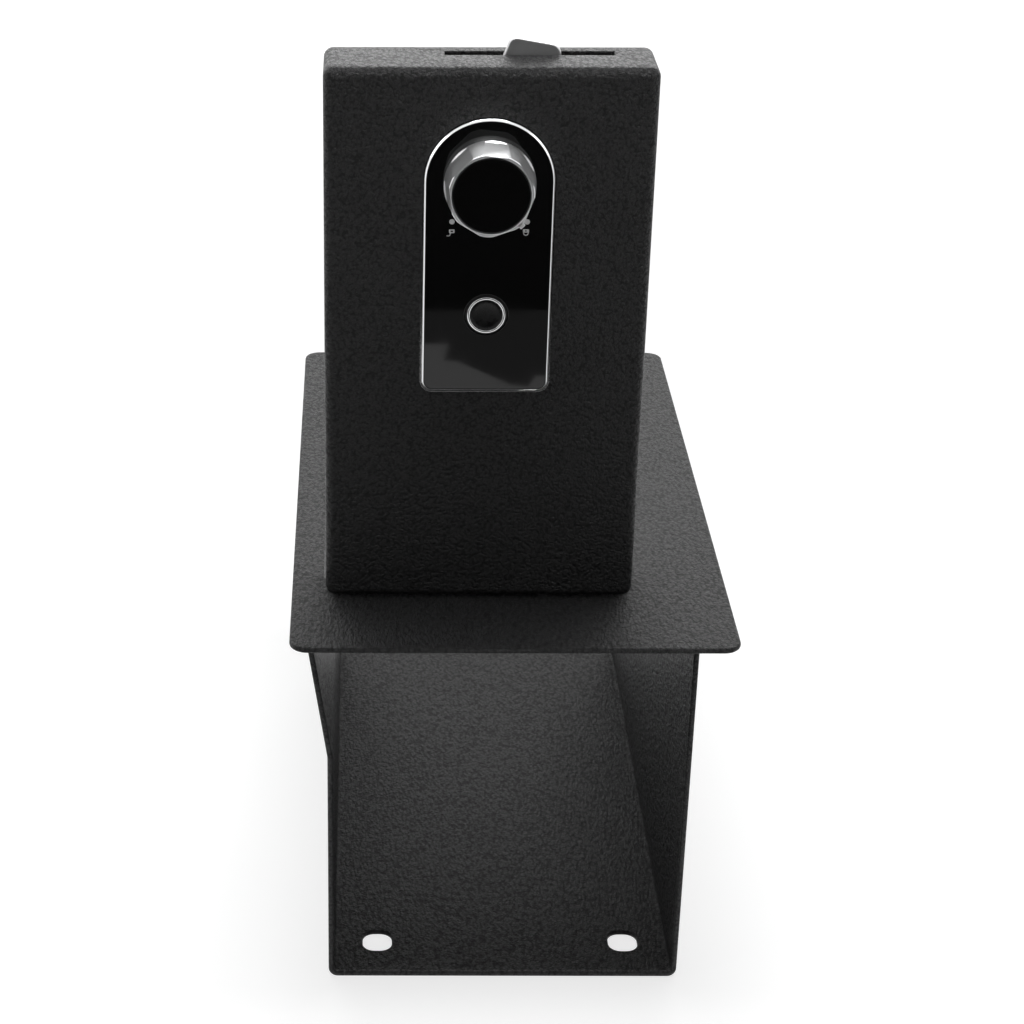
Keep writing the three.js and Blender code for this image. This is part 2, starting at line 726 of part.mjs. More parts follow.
function knobCap() {
  const back = knobFront + capThickness;
  const skirt = capRadius - capSkirtWall;
  const face = rod(capRadius, knobFront, back, fineTurn);
  const collar = rod(skirt, knobFront, back + capSkirt, fineTurn);
  return face.add(collar).subtract(rod(skirt - capSkirtWall, back, 0, fineTurn));
}

// Spindle: round through the bush, then square for the latch arm, then a threaded end
function spindle() {
  const half = spindleSquare / 2;
  const squareEnd = latchDepth + latchSheet;
  const square = block([-half, latchDepth - 1, -half], [half, squareEnd, half]);
  const shank = rod(spindleRadius, knobBase - knobFloor, latchDepth - fitGap);
  return join([shank, square, rod(camThreadRadius, latchDepth, camThreadEnd)]);
}

function blockingDisc() {
  const [front, back] = [discDepth, discDepth + discThickness];
  const whole = rod(discRadius, front, back, fineTurn);
  const half = notchWidth / 2;
  const notch = block([-half, 0, -2 * discRadius], [half, 2 * back, -discRadius + notchDepth]);
  return cut(whole, [notch, notch.rotate(0, -90, 0), rod(spindleRadius + fitGap, 0, 2 * back)]);
}

function latchArm() {
  const [left, right] = [-latchHalfWidth, latchHalfWidth];
  const [low, high] = [knobInset + latchReachLow, knobInset + latchReachHigh];
  const outline = [[left, 0], [right, 0], [right, high - latchTipDrop]];
  outline.push([right - latchTipInset, high]);
  outline.push([left + latchTipInset, low + latchTipDrop / 4]);
  outline.push([left, low - latchTipDrop]);
  const back = latchDepth + latchSheet;
  const plate = prism('y', polygon(outline), latchDepth, back);
  const whole = plate.add(rod(latchHubRadius, latchDepth, back)).rotate(0, latchAngle, 0);
  const half = spindleSquare / 2 + fitGap;
  return whole.subtract(across(half, 0, 2 * back, -half, half));
}

function camNut() {
  const from = latchDepth + latchSheet + washerThickness + 2 * fitGap;
  const nut = prism('y', hexagon(camNutRadius), from, from + camNutThickness);
  return nut.subtract(rod(camThreadRadius + fitGap, 0, 2 * from));
}

function camWasher() {
  const from = latchDepth + latchSheet + fitGap;
  const hole = rod(camThreadRadius + fitGap, 0, 2 * from);
  return rod(washerRadius, from, from + washerThickness).subtract(hole);
}

addPiece(lock, 'knob_barrel', knobBarrel(), 'chrome');
addPiece(lock, 'key_cylinder', keyCylinder(), 'brass');
addPiece(lock, 'key_plug', keyPlug(), 'brass');
addPiece(lock, 'knob_cap', knobCap(), 'gloss');
addPiece(lock, 'spindle', spindle(), 'steel');
addPiece(lock, 'blocking_disc', blockingDisc(), 'steel');
addPiece(lock, 'latch_arm', latchArm(), 'steel');
addPiece(lock, 'cam_washer', camWasher(), 'steel');
addPiece(lock, 'cam_nut', camNut(), 'steel');

// Liner that closes the pan, its posts and screws; z is above the lid's lower edge again

const leadEnd = knobHeight - housingDrop + housingWall;
const trayHigh = leadEnd - leadRun - fitGap;
const trayLow = trayHigh - trayOuterLength;

function postPlaces() {
  const heights = [postInset, lidLength - postInset];
  const x = halfLid - postSideInset;
  return heights.flatMap((z) => [-x, x].map((across) => [across, z]));
}

function linerPlate() {
  const gap = lidSheet + fitGap;
  const [half, top] = [halfLid - gap, lidLength - gap];
  const outline = roundedRect([-half, gap], [half, top], lidEdgeRadius - lidSheet);
  const plate = prism('y', outline, linerDepth, linerDepth + linerSheet);
  const drill = rod(screwRadius + fitGap, 0, 2 * linerDepth, smallTurn);
  const holes = postPlaces().map(([x, z]) => drill.translate(x, 0, z));
  const mouth = across(trayInner / 2, 0, 2 * linerDepth, trayLow + trayWall, trayHigh - trayWall);
  return cut(plate, [mouth, ...holes]);
}

function linerPost([x, z]) {
  const post = rod(postRadius, lidSheet, linerDepth, smallTurn);
  const bore = rod(screwRadius + fitGap, linerDepth - screwLength - fitGap, 2 * linerDepth, smallTurn);
  return post.subtract(bore).translate(x, 0, z);
}

function linerScrew([x, z]) {
  const seat = linerDepth + linerSheet + fitGap;
  const head = rod(screwHeadRadius, seat, seat + screwHeadHeight, smallTurn);
  const shank = rod(screwRadius, linerDepth - screwLength, seat + screwHeadHeight / 2, smallTurn);
  return head.add(shank).translate(x, 0, z);
}

addPiece(lid, 'liner_plate', linerPlate(), 'coat');
postPlaces().forEach((place, i) => {
  addPiece(lid, `liner_post_${i + 1}`, linerPost(place), 'steel');
  addPiece(lid, `liner_screw_${i + 1}`, linerScrew(place), 'steel');
});

// Battery tray behind the liner, with its cells, contacts and cover

function batteryTray() {
  const half = trayOuter / 2;
  const box = across(half, trayBack, linerDepth, trayLow, trayHigh);
  const rimFront = linerDepth - trayRimThickness;
  const rim = across(half + trayRim, rimFront, linerDepth, trayLow - trayRim, trayHigh + trayRim);
  const floor = trayBack + trayWall;
  const hollow = across(trayInner / 2, floor, 2 * linerDepth, trayLow + trayWall, trayHigh - trayWall);
  return box.add(rim).subtract(hollow);
}

function battery(index) {
  const pitch = 2 * cellRadius + fitGap;
  const x = (index - (cellCount - 1) / 2) * pitch;
  const y = trayBack + trayWall + fitGap + cellRadius;
  const up = index % 2 === 0;
  const start = trayLow + trayWall + contactThickness + fitGap;
  const can = cellLength - cellNubLength;
  const body = rodAlong('z', cellRadius, up ? 0 : cellNubLength, up ? can : cellLength);
  const nub = rodAlong('z', cellNubRadius, up ? can / 2 : 0, up ? cellLength : cellLength / 2);
  return body.add(nub).translate(x, y, start);
}

function contactStrip(low) {
  const middle = trayBack + trayWall + fitGap + cellRadius;
  const [front, back] = [middle - contactWidth / 2, middle + contactWidth / 2];
  return across(trayInner / 2 - fitGap, front, back, low, low + contactThickness);
}

function batteryCover() {
  const seat = linerDepth + linerSheet + fitGap;
  const [low, high] = [trayLow + trayWall, trayHigh - trayWall];
  const half = trayInner / 2 + coverOverlap;
  const outline = roundedRect([-half, low - coverOverlap], [half, high + coverOverlap], coverCornerRadius);
  const plate = prism('y', outline, seat, seat + coverThickness);
  const plugHalf = trayInner / 2 - fitGap;
  const [plugLow, plugHigh] = [low + fitGap, high - fitGap];
  const plug = across(plugHalf, seat - coverPlug, seat + coverThickness / 2, plugLow, plugHigh);
  const wall = coverPlugWall;
  const room = across(plugHalf - wall, 0, seat, plugLow + wall, plugHigh - wall);
  const ribBack = seat + coverThickness + ribHeight;
  const ribs = Array.from({ length: ribCount }, (_, i) => {
    const z = high - coverOverlap - ribPitch * (i + 1);
    return across(ribLength / 2, seat, ribBack, z - ribWidth / 2, z + ribWidth / 2);
  });
  return join([plate, plug.subtract(room), ...ribs]);
}

addPiece(lid, 'battery_tray', batteryTray(), 'plastic');
for (let i = 0; i < cellCount; i += 1) {
  addPiece(lid, `battery_${i + 1}`, battery(i), 'cell');
}
addPiece(lid, 'contact_strip_lower', contactStrip(trayLow + trayWall), 'steel');
addPiece(lid, 'contact_strip_upper', contactStrip(trayHigh - trayWall - contactThickness), 'steel');
addPiece(lid, 'battery_cover', batteryCover(), 'plastic');

// Lead from the tray up to the lock housing
function batteryLead() {
  const low = trayHigh + fitGap;
  const bendY = (trayBack + leadDepth) / 2 + cellRadius;
  const points = [[0, bendY, low], [0, bendY, low + leadStraight]];
  points.push([leadSway, (bendY + leadDepth) / 2, (low + leadEnd) / 2]);
  points.push([0, leadDepth, leadEnd - leadStraight], [0, leadDepth, leadEnd]);
  const route = new THREE.CatmullRomCurve3(points.map((point) => new THREE.Vector3(...point)));
  const options = { steps: 16, extrudePath: route, curveSegments: 2, bevelEnabled: false };
  return solid(new THREE.ExtrudeGeometry(disc(leadRadius), options));
}

addPiece(lid, 'battery_lead', batteryLead(), 'wire');

export default group;
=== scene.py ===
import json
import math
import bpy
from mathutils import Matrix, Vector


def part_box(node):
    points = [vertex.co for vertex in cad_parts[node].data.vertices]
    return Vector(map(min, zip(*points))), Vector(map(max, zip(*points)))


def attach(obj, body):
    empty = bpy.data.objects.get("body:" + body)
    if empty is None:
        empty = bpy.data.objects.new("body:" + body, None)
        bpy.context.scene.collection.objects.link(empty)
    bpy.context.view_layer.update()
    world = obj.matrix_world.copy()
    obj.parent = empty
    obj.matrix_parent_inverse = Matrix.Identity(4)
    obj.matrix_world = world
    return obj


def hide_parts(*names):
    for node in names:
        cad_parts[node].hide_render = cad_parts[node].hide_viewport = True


bl_info = {
    "name": "Console Safe",
    "version": (1, 0, 0),
    "blender": (4, 5, 0),
    "location": "3D View > Sidebar > Console Safe",
    "description": "Dresses a console safe: folded steel, wrinkle coat, chrome lock and its inside",
    "category": "Object",
}

import bmesh
import bpy
from bpy.props import FloatProperty, FloatVectorProperty, IntProperty, PointerProperty
from mathutils import Matrix, Vector

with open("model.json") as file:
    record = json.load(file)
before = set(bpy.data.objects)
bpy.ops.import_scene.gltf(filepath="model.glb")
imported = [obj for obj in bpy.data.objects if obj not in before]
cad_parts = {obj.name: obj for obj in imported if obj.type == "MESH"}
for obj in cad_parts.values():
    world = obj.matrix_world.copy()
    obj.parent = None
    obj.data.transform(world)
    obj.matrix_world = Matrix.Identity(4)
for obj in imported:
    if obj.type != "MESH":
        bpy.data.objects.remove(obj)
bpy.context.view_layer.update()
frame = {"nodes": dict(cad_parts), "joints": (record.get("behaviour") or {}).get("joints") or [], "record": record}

MM = 0.001  # metres in a millimetre; shapes are drawn in millimetres
QUARTER = math.pi / 2
ROUND_STEPS = 10  # points in a quarter turn of a visible outline
EDGE_STEPS = 3  # faces across a softened edge

# Sizes in millimetres that the frame's boxes don't tell
FIT = 0.3  # gap between pieces that sit in each other
THREAD = 1.5  # radius of the panel's studs and of the liner's screws
FRAME_WIDTH = 1.5  # width of the frame round the lock panel
BUSH_LIP = 2  # the spindle bush's flange past its barrel
POINTER_REACH = (16.7, 19.1)  # knob axis to the pointer's inner and outer end
POINTER_WIDTH = 2.6
HINGE_LEAF = 1.4  # thickness of a hinge leaf
HINGE_PIN = 1.2  # radius of the hinge pin
HINGE_HEAD = (2, 1)  # radius and length of the pin's heads
LATCH_SLOT = (-19, 52.4)  # ends of the latch's slot, from the lid's middle
LATCH_REACH = (6.5, 11.3)  # tip's left and right corner past the lid's end, before the arm is turned
LATCH_HUB = 12  # radius of the arm's hub and half of its width
LATCH_ANGLE = math.radians(-20)
TRAY_RIM = 4.6  # the battery tray's rim with its wall
SCREW_HEAD = 1.3  # height of the liner's screw heads
POST_BORE = 8.3  # depth of the bore in a liner post
COVER_RIBS = 4
COVER_RIB_PITCH = 2.4
CELL_BAND = 0.0024  # metres of bare metal at each end of a cell

CAMERA_PLACE = (-0.0671, -1.0806, 0.7163)  # metres
CAMERA_SHIFT = (0.1448, -0.0005)  # of the picture's width


# Settings


class SteelSettings(bpy.types.PropertyGroup):
    """Folded sheet of the box and of the lid"""

    sheet: FloatProperty(
        name="Sheet", description="Thickness of the folded sheet", default=0.0026, unit="LENGTH"
    )
    edge: FloatProperty(
        name="Edge", description="Rounding of the cut edges under the coat", default=0.001, unit="LENGTH"
    )
    flange_corner: FloatProperty(
        name="Flange corner", description="Radius of the flange's corners", default=0.008, unit="LENGTH"
    )
    bend: FloatProperty(
        name="Bend", description="Outside radius of the bottom bends", default=0.0045, unit="LENGTH"
    )
    flare_bend: FloatProperty(
        name="Flare bend", description="Outside radius where the left wall leans out", default=0.01,
        unit="LENGTH",
    )
    flare_height: FloatProperty(
        name="Flare height", description="Height of that bend", default=0.124, unit="LENGTH"
    )
    flare_reach: FloatProperty(
        name="Flare reach", description="How far the left wall leans out", default=0.0097, unit="LENGTH"
    )
    slot_width: FloatProperty(
        name="Slot width", description="Width of the fixing slots", default=0.0142, unit="LENGTH"
    )
    slot_length: FloatProperty(
        name="Slot length", description="Length of the fixing slots, front to back", default=0.0154,
        unit="LENGTH",
    )
    slot_corner: FloatProperty(
        name="Slot corner", description="Corner radius of the fixing slots", default=0.006, unit="LENGTH"
    )


class CoatSettings(bpy.types.PropertyGroup):
    """Wrinkled powder coat"""

    color: FloatVectorProperty(
        name="Colour", description="Colour of the coat", subtype="COLOR", size=4, min=0, max=1,
        default=(0.0085, 0.0085, 0.0088, 1),
    )
    # The lighter colour on the grain's tops is a painted highlight.
    painted_top_highlight: FloatVectorProperty(
        name="High spots", description="Colour on the grain's tops", subtype="COLOR", size=4, min=0, max=1,
        default=(0.0108, 0.0108, 0.0112, 1),
    )
    grain: FloatProperty(
        name="Grain", description="Width of one pebble of the wrinkle", default=0.0014, unit="LENGTH"
    )
    stretch: FloatProperty(
        name="Stretch", description="Width of a pebble for its length, front to back", default=0.42, min=0.1
    )
    depth: FloatProperty(
        name="Depth", description="Height of the pebbles", default=0.0006, unit="LENGTH"
    )
    roughness: FloatProperty(
        name="Roughness", description="Roughness of the coat", default=0.3, min=0, max=1, subtype="FACTOR"
    )


class LidSettings(bpy.types.PropertyGroup):
    """Pan-shaped lid and its hinge"""

    edge: FloatProperty(
        name="Lid edge", description="Rounding round the lid's face", default=0.004, unit="LENGTH"
    )
    corner: FloatProperty(
        name="Lid corner", description="Radius of the lid's corners", default=0.0042, unit="LENGTH"
    )
    side_gap: FloatProperty(
        name="Side gap", description="Lid to the sides of the opening", default=0.001, unit="LENGTH"
    )
    sweep_gap: FloatProperty(
        name="Sweep gap", description="Swinging lid to the rear of the opening", default=0.0011,
        unit="LENGTH",
    )
    knuckles: IntProperty(
        name="Knuckles", description="Knuckles of the hinge, shared by its leaves", default=5, min=3
    )
    knuckle_gap: FloatProperty(
        name="Knuckle gap", description="Space between two knuckles", default=0.0005, unit="LENGTH"
    )


class LockSettings(bpy.types.PropertyGroup):
    """Lock panel, sensor and knob"""

    panel_corner: FloatProperty(
        name="Panel corner", description="Radius of the panel's lower corners", default=0.0055, unit="LENGTH"
    )
    rim: FloatProperty(
        name="Rim", description="Width of the chrome rim round the panel", default=0.0008, unit="LENGTH"
    )
    black_edge: FloatProperty(
        name="Black edge", description="Width of the black edge outside the rim", default=0.00063,
        unit="LENGTH",
    )
    flats: IntProperty(
        name="Flats", description="Flats ground on the knob", default=7, min=3
    )
    flat_nose: FloatProperty(
        name="Flat in front", description="Knob axis to a flat at the knob's front", default=0.017,
        unit="LENGTH",
    )
    flat_base: FloatProperty(
        name="Flat at the base", description="Knob axis to a flat at the base rim", default=0.0187,
        unit="LENGTH",
    )
    knob_nose: FloatProperty(
        name="Knob front", description="Radius of the knob's front", default=0.018, unit="LENGTH"
    )
    knob_base: FloatProperty(
        name="Knob base", description="Radius of the knob's base", default=0.0194, unit="LENGTH"
    )
    knob_rim: FloatProperty(
        name="Base rim", description="Height of the round rim under the flats", default=0.003, unit="LENGTH"
    )
    pointer_angle: FloatProperty(
        name="Pointer angle", description="Where the knob's pointer stands", default=math.radians(-45),
        subtype="ANGLE", unit="ROTATION",
    )
    mark_across: FloatProperty(
        name="Marks apart", description="From one mark's dot to the other", default=0.0318, unit="LENGTH"
    )
    mark_drop: FloatProperty(
        name="Mark drop", description="Dots below the knob's axis", default=0.01735, unit="LENGTH"
    )
    dot_radius: FloatProperty(
        name="Dot", description="Radius of the marks' dots", default=0.00117, unit="LENGTH"
    )
    mark_color: FloatVectorProperty(
        name="Mark colour", description="Paint of the marks", subtype="COLOR", size=4, min=0, max=1,
        default=(0.97, 0.97, 0.97, 1),
    )
    chrome_color: FloatVectorProperty(
        name="Chrome", description="Colour of the polished chrome", subtype="COLOR", size=4, min=0, max=1,
        default=(0.86, 0.865, 0.87, 1),
    )
    satin_color: FloatVectorProperty(
        name="Satin chrome", description="Colour of the knob's chrome", subtype="COLOR", size=4,
        min=0, max=1, default=(0.7, 0.705, 0.71, 1),
    )


class StudioSettings(bpy.types.PropertyGroup):
    """Floor, lamps and camera"""

    ambient: FloatProperty(
        name="Ambient", description="Strength of the even light from all sides", default=0.1, min=0
    )
    back_light: FloatProperty(
        name="Back light", description="Power of the low softbox behind", default=19, unit="POWER"
    )
    top_light: FloatProperty(
        name="Top light", description="Power of the softbox overhead", default=6.8, unit="POWER"
    )
    left_light: FloatProperty(
        name="Left light", description="Power of the softbox on the left", default=3, unit="POWER"
    )
    right_light: FloatProperty(
        name="Right light", description="Power of the softbox on the right", default=2, unit="POWER"
    )
    floor_color: FloatVectorProperty(
        name="Floor", description="Colour of the floor", subtype="COLOR", size=4, min=0, max=1,
        default=(0.45, 0.45, 0.45, 1),
    )
    lens: FloatProperty(name="Lens", description="Focal length in millimetres", default=84.05, min=1)
    pitch: FloatProperty(
        name="Pitch", description="How far the camera looks down", default=math.radians(26.64),
        subtype="ANGLE", unit="ROTATION",
    )
    roll: FloatProperty(
        name="Roll", description="Turn of the camera about its own axis", default=math.radians(0.1),
        subtype="ANGLE", unit="ROTATION",
    )


SETTINGS = {
    "safe_steel": SteelSettings,
    "safe_coat": CoatSettings,
    "safe_lid": LidSettings,
    "safe_lock": LockSettings,
    "safe_studio": StudioSettings,
}


def mm(length):
    """A length of the settings or of the frame in millimetres."""
    return length / MM


def box_mm(node):
    low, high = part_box(node)
    return low / MM, high / MM


def middle_of(node):
    low, high = box_mm(node)
    return (low + high) / 2


def radius_of(node):
    """Radius of a round piece of the frame, in millimetres."""
    low, high = box_mm(node)
    return (high.x - low.x) / 2


def four(stem):
    """Names of four like nodes."""
    return [f"{stem}_{index}" for index in range(1, 5)]


def joint_place(name):
    """A point on a joint's axis, in millimetres."""
    joint = next(joint for joint in frame["joints"] if joint["name"] == name)
    return Vector(joint["pos_m"]) / MM


# Flat outlines: lists of points, with the material on their left


def arc(centre, radius, start, end, steps=ROUND_STEPS):
    count = max(2, round(steps * abs(end - start) / QUARTER))
    angles = [start + (end - start) * i / count for i in range(count + 1)]
    return [Vector((centre[0] + radius * math.cos(a), centre[1] + radius * math.sin(a))) for a in angles]


def circle(centre, radius, steps=ROUND_STEPS):
    return arc(centre, radius, 0, 4 * QUARTER, steps)[:-1]


def rounded_polygon(corners, radii, steps=ROUND_STEPS):
    """A polygon whose corners are rounded; radii holds one radius for each corner."""
    outline = []
    count = len(corners)
    for i, (corner, radius) in enumerate(zip(corners, radii)):
        at = Vector(corner)
        into = (at - Vector(corners[i - 1])).normalized()
        out = (Vector(corners[(i + 1) % count]) - at).normalized()
        turn = math.atan2(into.cross(out), into.dot(out))
        if radius <= 0:
            outline.append(at)
            continue
        side = math.copysign(1, turn)
        start = at - into * radius * math.tan(abs(turn) / 2)
        centre = start + Vector((-into.y, into.x)) * radius * side
        angle = math.atan2(start.y - centre.y, start.x - centre.x)
        outline += arc(centre, radius, angle, angle + turn, steps)
    return outline


def rounded_rect(low, high, radius, steps=ROUND_STEPS):
    corners = [(low[0], low[1]), (high[0], low[1]), (high[0], high[1]), (low[0], high[1])]
    return rounded_polygon(corners, [radius] * 4, steps)


def hole(outline):
    """An outline as a hole: its points run the other way."""
    return outline[::-1]


def inset(outline, distance):
    """The outline moved sideways into its material."""
    moved = []
    count = len(outline)
    for i, point in enumerate(outline):
        into = (point - outline[i - 1]).normalized()
        out = (outline[(i + 1) % count] - point).normalized()
        left = Vector((-into.y - out.y, into.x + out.x))
        moved.append(point + left * distance / (1 + into.dot(out)))
    return moved


def stroke(line, width):
    """Outline of a drawn line of that width."""
    left, right = [], []
    for i, point in enumerate(line):
        along = (line[min(i + 1, len(line) - 1)] - line[max(i - 1, 0)]).normalized()
        side = Vector((-along.y, along.x)) * width / 2
        left.append(point + side)
        right.append(point - side)
    return right + left[::-1]


# Solids


def skin(loops, place):
    """A closed mesh from loops. Each loop is an outline with its path: pairs of inset and depth.

    place turns an outline's point and its depth into a point in space. One cap closes the first
    rings of all loops, and another the last ones.
    """
    bm = bmesh.new()
    caps = ([], [])
    for outline, path in loops:
        rings = []
        for distance, depth in path:
            points = inset(outline, distance) if distance else outline
            rings.append([bm.verts.new(place(point, depth)) for point in points])
        for near, far in zip(rings, rings[1:]):
            for i in range(len(near)):
                bm.faces.new((near[i - 1], near[i], far[i], far[i - 1])).smooth = True
        for cap, ring in zip(caps, (rings[0], rings[-1])):
            cap += [bm.edges.get((ring[i - 1], ring[i])) for i in range(len(ring))]
    for cap in caps:
        bmesh.ops.triangle_fill(bm, edges=cap, use_beauty=True)
    bmesh.ops.recalc_face_normals(bm, faces=bm.faces)
    return bm


def edge_path(low, high, edge):
    """Path of a plate's side from its lower to its upper cap, with softened edges."""
    turns = [QUARTER * i / EDGE_STEPS for i in range(EDGE_STEPS + 1)]
    lower = [(edge * (1 - math.sin(t)), low + edge * (1 - math.cos(t))) for t in turns]
    upper = [(edge * (1 - math.cos(t)), high - edge * (1 - math.sin(t))) for t in turns]
    return lower + upper


def lying(point, depth):
    """Places an outline drawn from above."""
    return (point.x, point.y, depth)


def facing(point, depth):
    """Places an outline drawn from the front."""
    return (point.x, depth, point.y)


def endwise(point, depth):
    """Places an outline drawn from the right-hand side."""
    return (depth, point.x, point.y)


def plate(outlines, low, high, edge, place=lying):
    path = edge_path(low, high, edge)
    return skin([(outline, path) for outline in outlines], place)


def turned(profile, centre, steps=24):
    """A round solid about an axis along Y, from pairs of radius and depth. Closed where radius is 0."""
    bm = bmesh.new()
    count = 4 * steps
    rings = []
    for radius, depth in profile:
        if radius <= 0:
            rings.append([bm.verts.new((centre.x, depth, centre.z))])
            continue
        angles = [2 * math.pi * i / count for i in range(count)]
        rings.append([
            bm.verts.new((centre.x + radius * math.cos(a), depth, centre.z + radius * math.sin(a)))
            for a in angles
        ])
    closed = profile[0][0] > 0
    pairs = list(zip(rings, rings[1:]))
    if closed:
        pairs.append((rings[-1], rings[0]))
    for near, far in pairs:
        for i in range(count):
            corners = [near[i - 1] if len(near) > 1 else None, near[i % len(near)]]
            corners += [far[i % len(far)], far[i - 1] if len(far) > 1 else None]
            bm.faces.new([corner for corner in corners if corner]).smooth = True
    bmesh.ops.recalc_face_normals(bm, faces=bm.faces)
    return bm


def softened(profile, radius, steps=EDGE_STEPS):
    """A turned profile with its corners rounded, apart from those on the axis."""
    line = [Vector(point) for point in profile]
    closed = profile[0][0] > 0
    result = []
    for i, at in enumerate(line):
        inner = 0 < i < len(line) - 1
        if at.x <= 0 or not (inner or closed):
            result.append(tuple(at))
            continue
        before, after = line[i - 1], line[(i + 1) % len(line)]
        into, out = (at - before), (after - at)
        trim = min(radius, into.length * 0.45, out.length * 0.45)
        start = at - into.normalized() * trim
        end = at + out.normalized() * trim
        for step in range(steps + 1):
            t = step / steps
            result.append(tuple(start * (1 - t) ** 2 + at * 2 * t * (1 - t) + end * t ** 2))
    return result


def add(bm, other):
    """Takes another closed mesh into bm."""
    scratch = bpy.data.meshes.new("scratch")
    other.to_mesh(scratch)
    other.free()
    bm.from_mesh(scratch)
    bpy.data.meshes.remove(scratch)
    return bm


def folded(outlines, sheet, edge, corners, radii, place, steps=8):
    """A flat blank bent along a line. Its outlines are in length along the line and width."""
    bm = plate(outlines, -sheet / 2, sheet / 2, edge)
    stations = fold_stations(corners, radii, steps)
    for length, _, _ in stations[1:-1]:
        geometry = bm.verts[:] + bm.edges[:] + bm.faces[:]
        bmesh.ops.bisect_plane(bm, geom=geometry, plane_co=(length, 0, 0), plane_no=(1, 0, 0), dist=1e-5)
    for vert in bm.verts:
        point, side = on_fold(stations, vert.co.x)
        spot = point + side * vert.co.z
        vert.co = place(spot, vert.co.y)
    bmesh.ops.recalc_face_normals(bm, faces=bm.faces)
    return bm


def fold_stations(corners, radii, steps):
    """Where a bent line changes: its length so far, the point and the direction to its left."""
    first = Vector(corners[0])
    direction = (Vector(corners[1]) - first).normalized()
    stations = [(0, first, Vector((-direction.y, direction.x)))]
    for i, radius in enumerate(radii):
        at = Vector(corners[i + 1])
        into = (at - Vector(corners[i])).normalized()
        out = (Vector(corners[i + 2]) - at).normalized()
        turn = math.atan2(into.cross(out), into.dot(out))
        side = math.copysign(1, turn)
        start = at - into * radius * math.tan(abs(turn) / 2)
        centre = start + Vector((-into.y, into.x)) * radius * side
        begun = stations[-1][0] + (start - stations[-1][1]).length
        for step in range(steps + 1):
            angle = turn * step / steps
            spin = Matrix.Rotation(angle, 2)
            point = centre + spin @ (start - centre)
            left = spin @ Vector((-into.y, into.x))
            stations.append((begun + abs(angle) * radius, point, left))
    last = Vector(corners[-1])
    length = stations[-1][0] + (last - stations[-1][1]).length
    stations.append((length, last, stations[-1][2]))
    return stations


def on_fold(stations, length):
    for (start, a, left_a), (end, b, left_b) in zip(stations, stations[1:]):
        if length <= end or end == stations[-1][0]:
            share = (length - start) / (end - start)
            return a + (b - a) * share, (left_a + (left_b - left_a) * share).normalized()
    raise ValueError("the fold has no such length")


def mesh_of(bm, name):
    mesh = bpy.data.meshes.new(name)
    bm.transform(Matrix.Scale(MM, 4))
    bm.to_mesh(mesh)
    bm.free()
    return mesh


def link(name, mesh):
    piece = bpy.data.objects.new(name, mesh)
    bpy.context.scene.collection.objects.link(piece)
    return piece


def piece_of(name, bm):
    """A piece from a mesh that is drawn in millimetres."""
    return link(name, mesh_of(bm, name))


def discard(piece):
    """Deletes a scratch piece with its mesh."""
    mesh = piece.data
    bpy.data.objects.remove(piece)
    bpy.data.meshes.remove(mesh)


def redrawn(piece):
    """A scratch piece's mesh, back in millimetres. The piece itself goes."""
    bm = bmesh.new()
    bm.from_mesh(piece.data)
    bm.transform(Matrix.Scale(1 / MM, 4))
    discard(piece)
    return bm


def dress(piece, body, slot, stands_for=(), material=None):
    """Gives a finished piece its material and its body, and hides the CAD nodes that it stands for."""
    chosen = material or finish(slot)
    if piece.data.materials:
        piece.data.materials[0] = chosen
    else:
        piece.data.materials.append(chosen)
    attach(piece, body)
    if stands_for:
        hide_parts(*stands_for)


def applied(piece):
    """Turns a piece with modifiers into a plain mesh."""
    bpy.context.view_layer.update()
    evaluated = piece.evaluated_get(bpy.context.evaluated_depsgraph_get())
    mesh = bpy.data.meshes.new_from_object(evaluated)
    piece.modifiers.clear()
    old = piece.data
    piece.data = mesh
    bpy.data.meshes.remove(old)
    mesh.name = piece.name


def carve(piece, cutter):
    """Takes a cutter's shape out of a piece."""
    tool = piece_of("cutter", cutter)
    modifier = piece.modifiers.new("cut", "BOOLEAN")
    modifier.operation = "DIFFERENCE"
    modifier.solver = "EXACT"
    modifier.object = tool
    applied(piece)
    discard(tool)


def sharpen(piece, degrees):
    """Shades a piece smooth, but for edges that turn by more than that."""
    mesh = piece.data
    mesh.polygons.foreach_set("use_smooth", [True] * len(mesh.polygons))
    mesh.set_sharp_from_angle(angle=math.radians(degrees))


# Repeated pieces: node trees that set one element out in a row or at given points


def new_tree(name, inputs):
    tree = bpy.data.node_groups.new(name, "GeometryNodeTree")
    tree.interface.new_socket("Geometry", in_out="INPUT", socket_type="NodeSocketGeometry")
    for label, kind in inputs.items():
        tree.interface.new_socket(label, in_out="INPUT", socket_type=kind)
    tree.interface.new_socket("Geometry", in_out="OUTPUT", socket_type="NodeSocketGeometry")
    return tree, tree.nodes.new("NodeGroupInput"), tree.nodes.new("NodeGroupOutput")


def finish_tree(tree, entry, exit_node, points):
    """Sets the element on the points, makes it real and gives it its material."""
    element = tree.nodes.new("GeometryNodeObjectInfo")
    instances = tree.nodes.new("GeometryNodeInstanceOnPoints")
    realize = tree.nodes.new("GeometryNodeRealizeInstances")
    paint = tree.nodes.new("GeometryNodeSetMaterial")
    tree.links.new(entry.outputs["Element"], element.inputs["Object"])
    tree.links.new(points, instances.inputs["Points"])
    tree.links.new(element.outputs["Geometry"], instances.inputs["Instance"])
    tree.links.new(instances.outputs["Instances"], realize.inputs["Geometry"])
    tree.links.new(realize.outputs["Geometry"], paint.inputs["Geometry"])
    tree.links.new(entry.outputs["Material"], paint.inputs["Material"])
    tree.links.new(paint.outputs["Geometry"], exit_node.inputs["Geometry"])
    return tree


